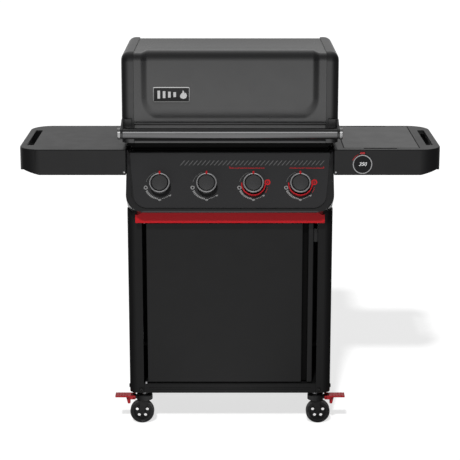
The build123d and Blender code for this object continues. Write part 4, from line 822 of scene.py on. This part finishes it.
# %% Trims and printed marks become pieces
# the trim wall runs half round the knob, with a narrow flange on top
TRIM_R, TRIM_H = 34.0, 14.5
TRIM_WALL, TRIM_FLANGE, FLANGE_T = 1.5, 3.6, 1.2
TRIM_FROM, TRIM_TO = 174, 366
for number, hub in enumerate(hubs[2:], start=3):
    trim = bmesh.new()
    under = TRIM_H - FLANGE_T
    sector(trim, TRIM_R, TRIM_R + TRIM_WALL, TRIM_FROM, TRIM_TO, hub, under)
    raised_hub = hub @ Matrix.Translation((0, 0, under * MM))
    sector(trim, TRIM_R, TRIM_R + TRIM_FLANGE, TRIM_FROM, TRIM_TO, raised_hub, FLANGE_T)
    piece(f"burner_trim_{number}", trim, FINISHES["button_red"], "frame")
piece("dial_marks_grey", grey, INK["grey"], "frame")
piece("dial_marks_light", light, INK["white"], "frame")
piece("dial_marks_red", red, INK["red"], "frame")

# %% Row of strokes and the red bracket
HATCH_FROM, HATCH_TO, HATCH_COUNT = -152.0, 276.0, 34
HATCH_LOW, HATCH_HIGH = 52.0, 67.5
STROKE_SLANT = 0.85
STROKE_HALF = 1.3
strokes = bmesh.new()
for index in range(HATCH_COUNT):
    x = HATCH_FROM + (HATCH_TO - HATCH_FROM) * index / (HATCH_COUNT - 1)
    verts = block(strokes, (-STROKE_HALF, 0, INK_OFF),
                  (STROKE_HALF, HATCH_HIGH - HATCH_LOW, INK_OFF + INK_T))
    for vertex in verts:
        vertex.co.x += vertex.co.y * STROKE_SLANT
    bmesh.ops.transform(strokes, matrix=on_panel(x, HATCH_LOW), verts=verts)
piece("panel_strokes", strokes, INK["grey"], "frame")
LINE_LOW, LINE_HIGH, HOOK_HIGH, LINE_W = 42.0, 43.8, 48.0, 1.8
LINE_LEFT, LINE_RIGHT, GAP_LEFT, GAP_RIGHT = -1.8, 288.3, 106.0, 182.0
bracket = bmesh.new()
for low, high in (((LINE_LEFT, LINE_LOW), (GAP_LEFT, LINE_HIGH)),
                  ((GAP_RIGHT, LINE_LOW), (LINE_RIGHT, LINE_HIGH)),
                  ((LINE_LEFT, LINE_HIGH), (LINE_LEFT + LINE_W, HOOK_HIGH)),
                  ((LINE_RIGHT - LINE_W, LINE_HIGH), (LINE_RIGHT, HOOK_HIGH))):
    block(bracket, (*low, INK_OFF), (*high, INK_OFF + INK_T), on_panel())
piece("panel_bracket", bracket, INK["red"], "frame")
print("strokes:", HATCH_COUNT)

# %% [markdown]
# ## The display in the right table
# A small round instrument: a silver ring, a dark lens and lit numerals. The numerals are a text
# curve made into a mesh. A short red band at the rim marks the set temperature.

# %% Display
glass_low, glass_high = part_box("display_glass")
dial = Vector(((glass_low.x + glass_high.x) / 2, glass_low.y, (glass_low.z + glass_high.z) / 2))
dial_place = Matrix.Translation(dial) @ Matrix.Rotation(math.radians(90), 4, "X")
case_low, case_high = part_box("display_housing")
case_r = (case_high.x - case_low.x) / 2 / MM
proud = (dial.y - case_low.y) / MM
RING_W, RING_LIP, RING_H = 3.4, 0.3, 0.7
RING_SHOULDER, RING_INNER_SHOULDER = 1.0, 2.8
bm = bmesh.new()
turned(bm, [(case_r - RING_W, proud - RING_LIP), (case_r - RING_LIP, proud - RING_LIP),
            (case_r - RING_LIP, proud + RING_LIP), (case_r - RING_SHOULDER, proud + RING_H),
            (case_r - RING_INNER_SHOULDER, proud + RING_H), (case_r - RING_W, proud + RING_LIP),
            (case_r - RING_W, proud - RING_LIP)], dial_place, 72)
piece("display_ring", bm, INK["silver"], "frame")
MARK_FROM, MARK_TO, MARK_NEAR, MARK_FAR = 112, 160, 0.8, 2.2
apron_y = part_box("side_table_right")[0].y
mark_place = Matrix.Translation((0, apron_y - dial.y - INK_OFF * MM, 0)) @ dial_place
bm = bmesh.new()
sector(bm, case_r + MARK_NEAR, case_r + MARK_FAR, MARK_FROM, MARK_TO, mark_place)
piece("display_set_mark", bm, INK["red"], "frame")
print("display radius", round(case_r, 1), "mm")

# %% Numerals
NUMERAL_SIZE, NUMERAL_SHEAR, NUMERAL_OFF = 16.0, 0.3, 0.3


def numerals(name, words, place):
    """Numerals as a thin mesh, centred on their place."""
    curve = bpy.data.curves.new(name, "FONT")
    curve.body = words
    curve.size = NUMERAL_SIZE * MM
    curve.align_x = "CENTER"
    curve.align_y = "CENTER"
    curve.extrude = 0.1 * MM
    curve.shear = NUMERAL_SHEAR
    curve.resolution_u = 4
    holder = bpy.data.objects.new(name + "_curve", curve)
    scene.collection.objects.link(holder)
    bpy.context.view_layer.update()
    flat = bpy.data.meshes.new_from_object(holder)
    bpy.data.objects.remove(holder)
    bm = bmesh.new()
    bm.from_mesh(flat)
    bmesh.ops.remove_doubles(bm, verts=bm.verts, dist=1e-6)
    bmesh.ops.transform(bm, matrix=place, verts=bm.verts)
    bpy.data.meshes.remove(flat)
    return piece(name, bm, INK["digit"], "frame")


shown = numerals("display_numerals", "350",
                 Matrix.Translation((0, -NUMERAL_OFF * MM, 0)) @ dial_place)
print("numerals have", len(shown.data.polygons), "faces")

# %% [markdown]
# ## The badge plate
# The frame has a plain framed plate on the lid. It keeps that role with a bright rim, a dark field,
# a small plain flame and four heat bars, which say gas grill and nothing else.

# %% Badge
badge_low, badge_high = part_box("lid_badge")
badge_mid = (badge_low + badge_high) / 2
# the plate leans back with the lid's front, by 8 mm in 176 mm
BADGE_LEAN = math.atan2(8.0, 176.0)
BADGE_BACK, BADGE_FRONT, BADGE_CORNER, BADGE_RIM, BADGE_SUNK = -4.6, 0.2, 5.0, 3.0, 1.4
badge_place = (Matrix.Translation(Vector((badge_mid.x, badge_low.y, badge_mid.z)))
               @ Matrix.Rotation(math.radians(90) - BADGE_LEAN, 4, "X"))
facing = badge_place.to_3x3() @ Vector((0, 0, 1))
half_w = (badge_high.x - badge_low.x) / 2 / MM
half_h = (badge_high.z - badge_low.z) / 2 / MM
bm = bmesh.new()
block(bm, (-half_w, -half_h, BADGE_BACK), (half_w, half_h, BADGE_FRONT), badge_place)
rounded(bm, edges_along(bm, facing), BADGE_CORNER, 4)
front = [f for f in bm.faces if f.normal.dot(facing) > 0.99]
bmesh.ops.inset_region(bm, faces=front, thickness=BADGE_RIM * MM, use_even_offset=True)
sunk = list({v for f in front for v in f.verts})
bmesh.ops.translate(bm, verts=sunk, vec=-facing * BADGE_SUNK * MM)
plate = piece("badge_plate", bm, FINISHES["cast_silver"], "lid", ("lid_badge",))
plate.data.materials.append(FINISHES["black_plastic"])
field = max((p for p in plate.data.polygons if p.normal.dot(facing) > 0.99), key=lambda p: p.area)
field.material_index = 1
print("badge", round(2 * half_w), "x", round(2 * half_h), "mm")

# %% Flame and heat bars on the badge
FLAME = [(0, -13), (8, -10.5), (11, -4), (9.4, 2.5), (5.6, 6.2), (3.8, 3.0), (2.6, 8.2),
         (-1.2, 14.0), (-2.6, 6.4), (-7.2, 1.6), (-10.4, -4.4), (-7.8, -10.6)]
FLAME_X = 36.0
BADGE_RELIEF = 1.1
BAR_FROM, BAR_STEP, BAR_W, BAR_HALF, BAR_LESS, BAR_COUNT = -42.0, 16.0, 8.0, 12.0, 1.5, 4
bm = bmesh.new()
outline = [bm.verts.new(((x + FLAME_X) * MM, y * MM, -BADGE_SUNK * MM)) for x, y in FLAME]
top = bmesh.ops.extrude_face_region(bm, geom=[bm.faces.new(outline)])["geom"]
lifted = [g for g in top if isinstance(g, bmesh.types.BMVert)]
bmesh.ops.translate(bm, verts=lifted, vec=(0, 0, BADGE_RELIEF * MM))
for bar in range(BAR_COUNT):
    across = BAR_FROM + bar * BAR_STEP
    reach = BAR_HALF - bar * BAR_LESS
    block(bm, (across, -reach, -BADGE_SUNK), (across + BAR_W, reach, BADGE_RELIEF - BADGE_SUNK))
bmesh.ops.recalc_face_normals(bm, faces=bm.faces)
bmesh.ops.transform(bm, matrix=badge_place, verts=bm.verts)
piece("badge_flame", bm, FINISHES["cast_silver"], "lid")
print("flame points:", len(FLAME), "heat bars:", BAR_COUNT)

# %% [markdown]
# ## Handle ends, bolts and screws
# The polished ends of the handle have fine ribs, which is a profile with steps. Bolt heads are low
# domes with a socket, and the tables are held by small bright screws low on their front faces.

# %% Handle ends
cap_low, cap_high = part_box("lid_handle_caps")
grip_low, grip_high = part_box("lid_handle_tube")
grip_mid = (grip_low + grip_high) / 2
cap_r = (cap_high.z - cap_low.z) / 2 / MM
CAP_L, RIBS, RIB_FROM, RIB_STEP, RIB_DEPTH = 8.5, 3, 0.9, 2.3, 0.9
profile = [(0, 0), (cap_r, 0)]
for rib in range(RIBS):
    h = RIB_FROM + rib * RIB_STEP
    profile += [(cap_r, h), (cap_r - RIB_DEPTH, h + 0.4), (cap_r - RIB_DEPTH, h + 1.0),
                (cap_r, h + 1.4)]
profile += [(cap_r, CAP_L - 1.1), (cap_r - 1.1, CAP_L), (0, CAP_L)]
bm = bmesh.new()
for side in (-1, 1):
    root = side * (cap_high.x - CAP_L * MM)
    place = (Matrix.Translation((root, grip_mid.y, grip_mid.z))
             @ Matrix.Rotation(math.radians(90) * side, 4, "Y"))
    turned(bm, profile, place, 64)
ends = piece("handle_end_caps", bm, FINISHES["cast_silver"], "lid",
             ("lid_handle_caps",))
CARD_LIT.objects.link(ends)
left_out_of_shadow(ends)
print("handle end radius", round(cap_r, 1), "mm")

# %% Bolts of the cart and screws of the tables
HEAD = [(0, 1.2), (3.1, 1.2), (3.3, 2.9), (4.6, 3.4), (6.2, 2.6), (7.0, 0.9), (7.0, 0.0), (0, 0.0)]
BOLT_Z, SIDE_BOLT_Y, END_BOLT_X = 121.0, 160.0, 280.3
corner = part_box("cart_side_right")[1] / MM
bm = bmesh.new()
for side in (-1, 1):
    for end in (-1, 1):
        beside = Matrix.Translation(Vector((side * corner.x, end * SIDE_BOLT_Y, BOLT_Z)) * MM)
        before = Matrix.Translation(Vector((side * END_BOLT_X, end * corner.y, BOLT_Z)) * MM)
        turned(bm, HEAD, beside @ Matrix.Rotation(math.radians(90) * side, 4, "Y"), 32)
        turned(bm, HEAD, before @ Matrix.Rotation(math.radians(-90) * end, 4, "X"), 32)
piece("cart_bolt_heads", bm, FINISHES["dark_bolt"], "frame", ("cart_bolts",))
SCREW = [(0, 0.6), (1.2, 0.6), (1.5, 1.5), (2.6, 1.3), (3.2, 0.4), (3.2, -0.4), (0, -0.4)]
SCREW_Z, SCREW_IN = 826.0, 5.0
table_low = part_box("side_table_right")[0]
bm = bmesh.new()
for side in (-1, 1):
    at = Vector((side * (table_low.x + SCREW_IN * MM), table_low.y, SCREW_Z * MM))
    turned(bm, SCREW, Matrix.Translation(at) @ Matrix.Rotation(math.radians(90), 4, "X"), 24)
piece("table_screws", bm, FINISHES["cast_silver"], "frame")
print("bolt heads: 8, table screws: 2")

# %% [markdown]
# ## The lift-out board
# The board in the right table lies flush, so only the joint round it shows, dark with shade. A hair of black
#  along both sides and across the rear finger notch is painted shade: it draws the shadow down in the gap and the
#  notch.

# %% Painted shade in the gaps round the lift-out board
board_low, board_high = (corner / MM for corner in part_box("prep_insert"))
GAP_W, GAP_UP, GAP_SUNK = 2.2, 0.15, 1.0
SLOT_SHIFT, SLOT_HALF, SLOT_D = 18.0, 62.0, 7.0
table_top_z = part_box("side_table_right")[1].z / MM
slot_mid = (board_low.x + board_high.x) / 2 - SLOT_SHIFT
bm = bmesh.new()
for x in (board_low.x - GAP_W, board_high.x):
    block(bm, (x, board_low.y, table_top_z - GAP_SUNK),
          (x + GAP_W, board_high.y, table_top_z + GAP_UP))
block(bm, (slot_mid - SLOT_HALF, board_high.y - GAP_SUNK, table_top_z - GAP_SUNK),
      (slot_mid + SLOT_HALF, board_high.y + SLOT_D, table_top_z + GAP_UP))
# the strips are painted shade for the gaps and the notch
piece("board_gap_shade", bm, INK["painted_shade"], "frame")
print("board is", round(board_high.x - board_low.x), "mm wide")

# %% [markdown]
# ## Wheels
# The frame's wheels are right in shape. Hub and tyre are one piece there, so a copy is parted by
# material: whatever lies outside the tyre's inner radius is rubber, the rest is a dark moulded hub.
# The forks get soft edges.

# %% Tyres and hubs
TYRE_INNER_R = 28.6
for corner in ("front_left", "front_right", "rear_left", "rear_right"):
    node = f"caster_wheel_{corner}"
    wheel = softened(node, 0.5, "wheel_grey", steep=50.0)
    wheel.data.materials.append(FINISHES["black_plastic"])
    low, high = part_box(node)
    hub = (low + high) / 2
    for polygon in wheel.data.polygons:
        away = math.hypot(polygon.center.x - hub.x, polygon.center.z - hub.z)
        if away < TYRE_INNER_R * MM:
            polygon.material_index = 1
    softened(f"caster_fork_{corner}", 0.7, "black_plastic", steep=50.0)
print("tyres are parted from their hubs at", TYRE_INNER_R, "mm")
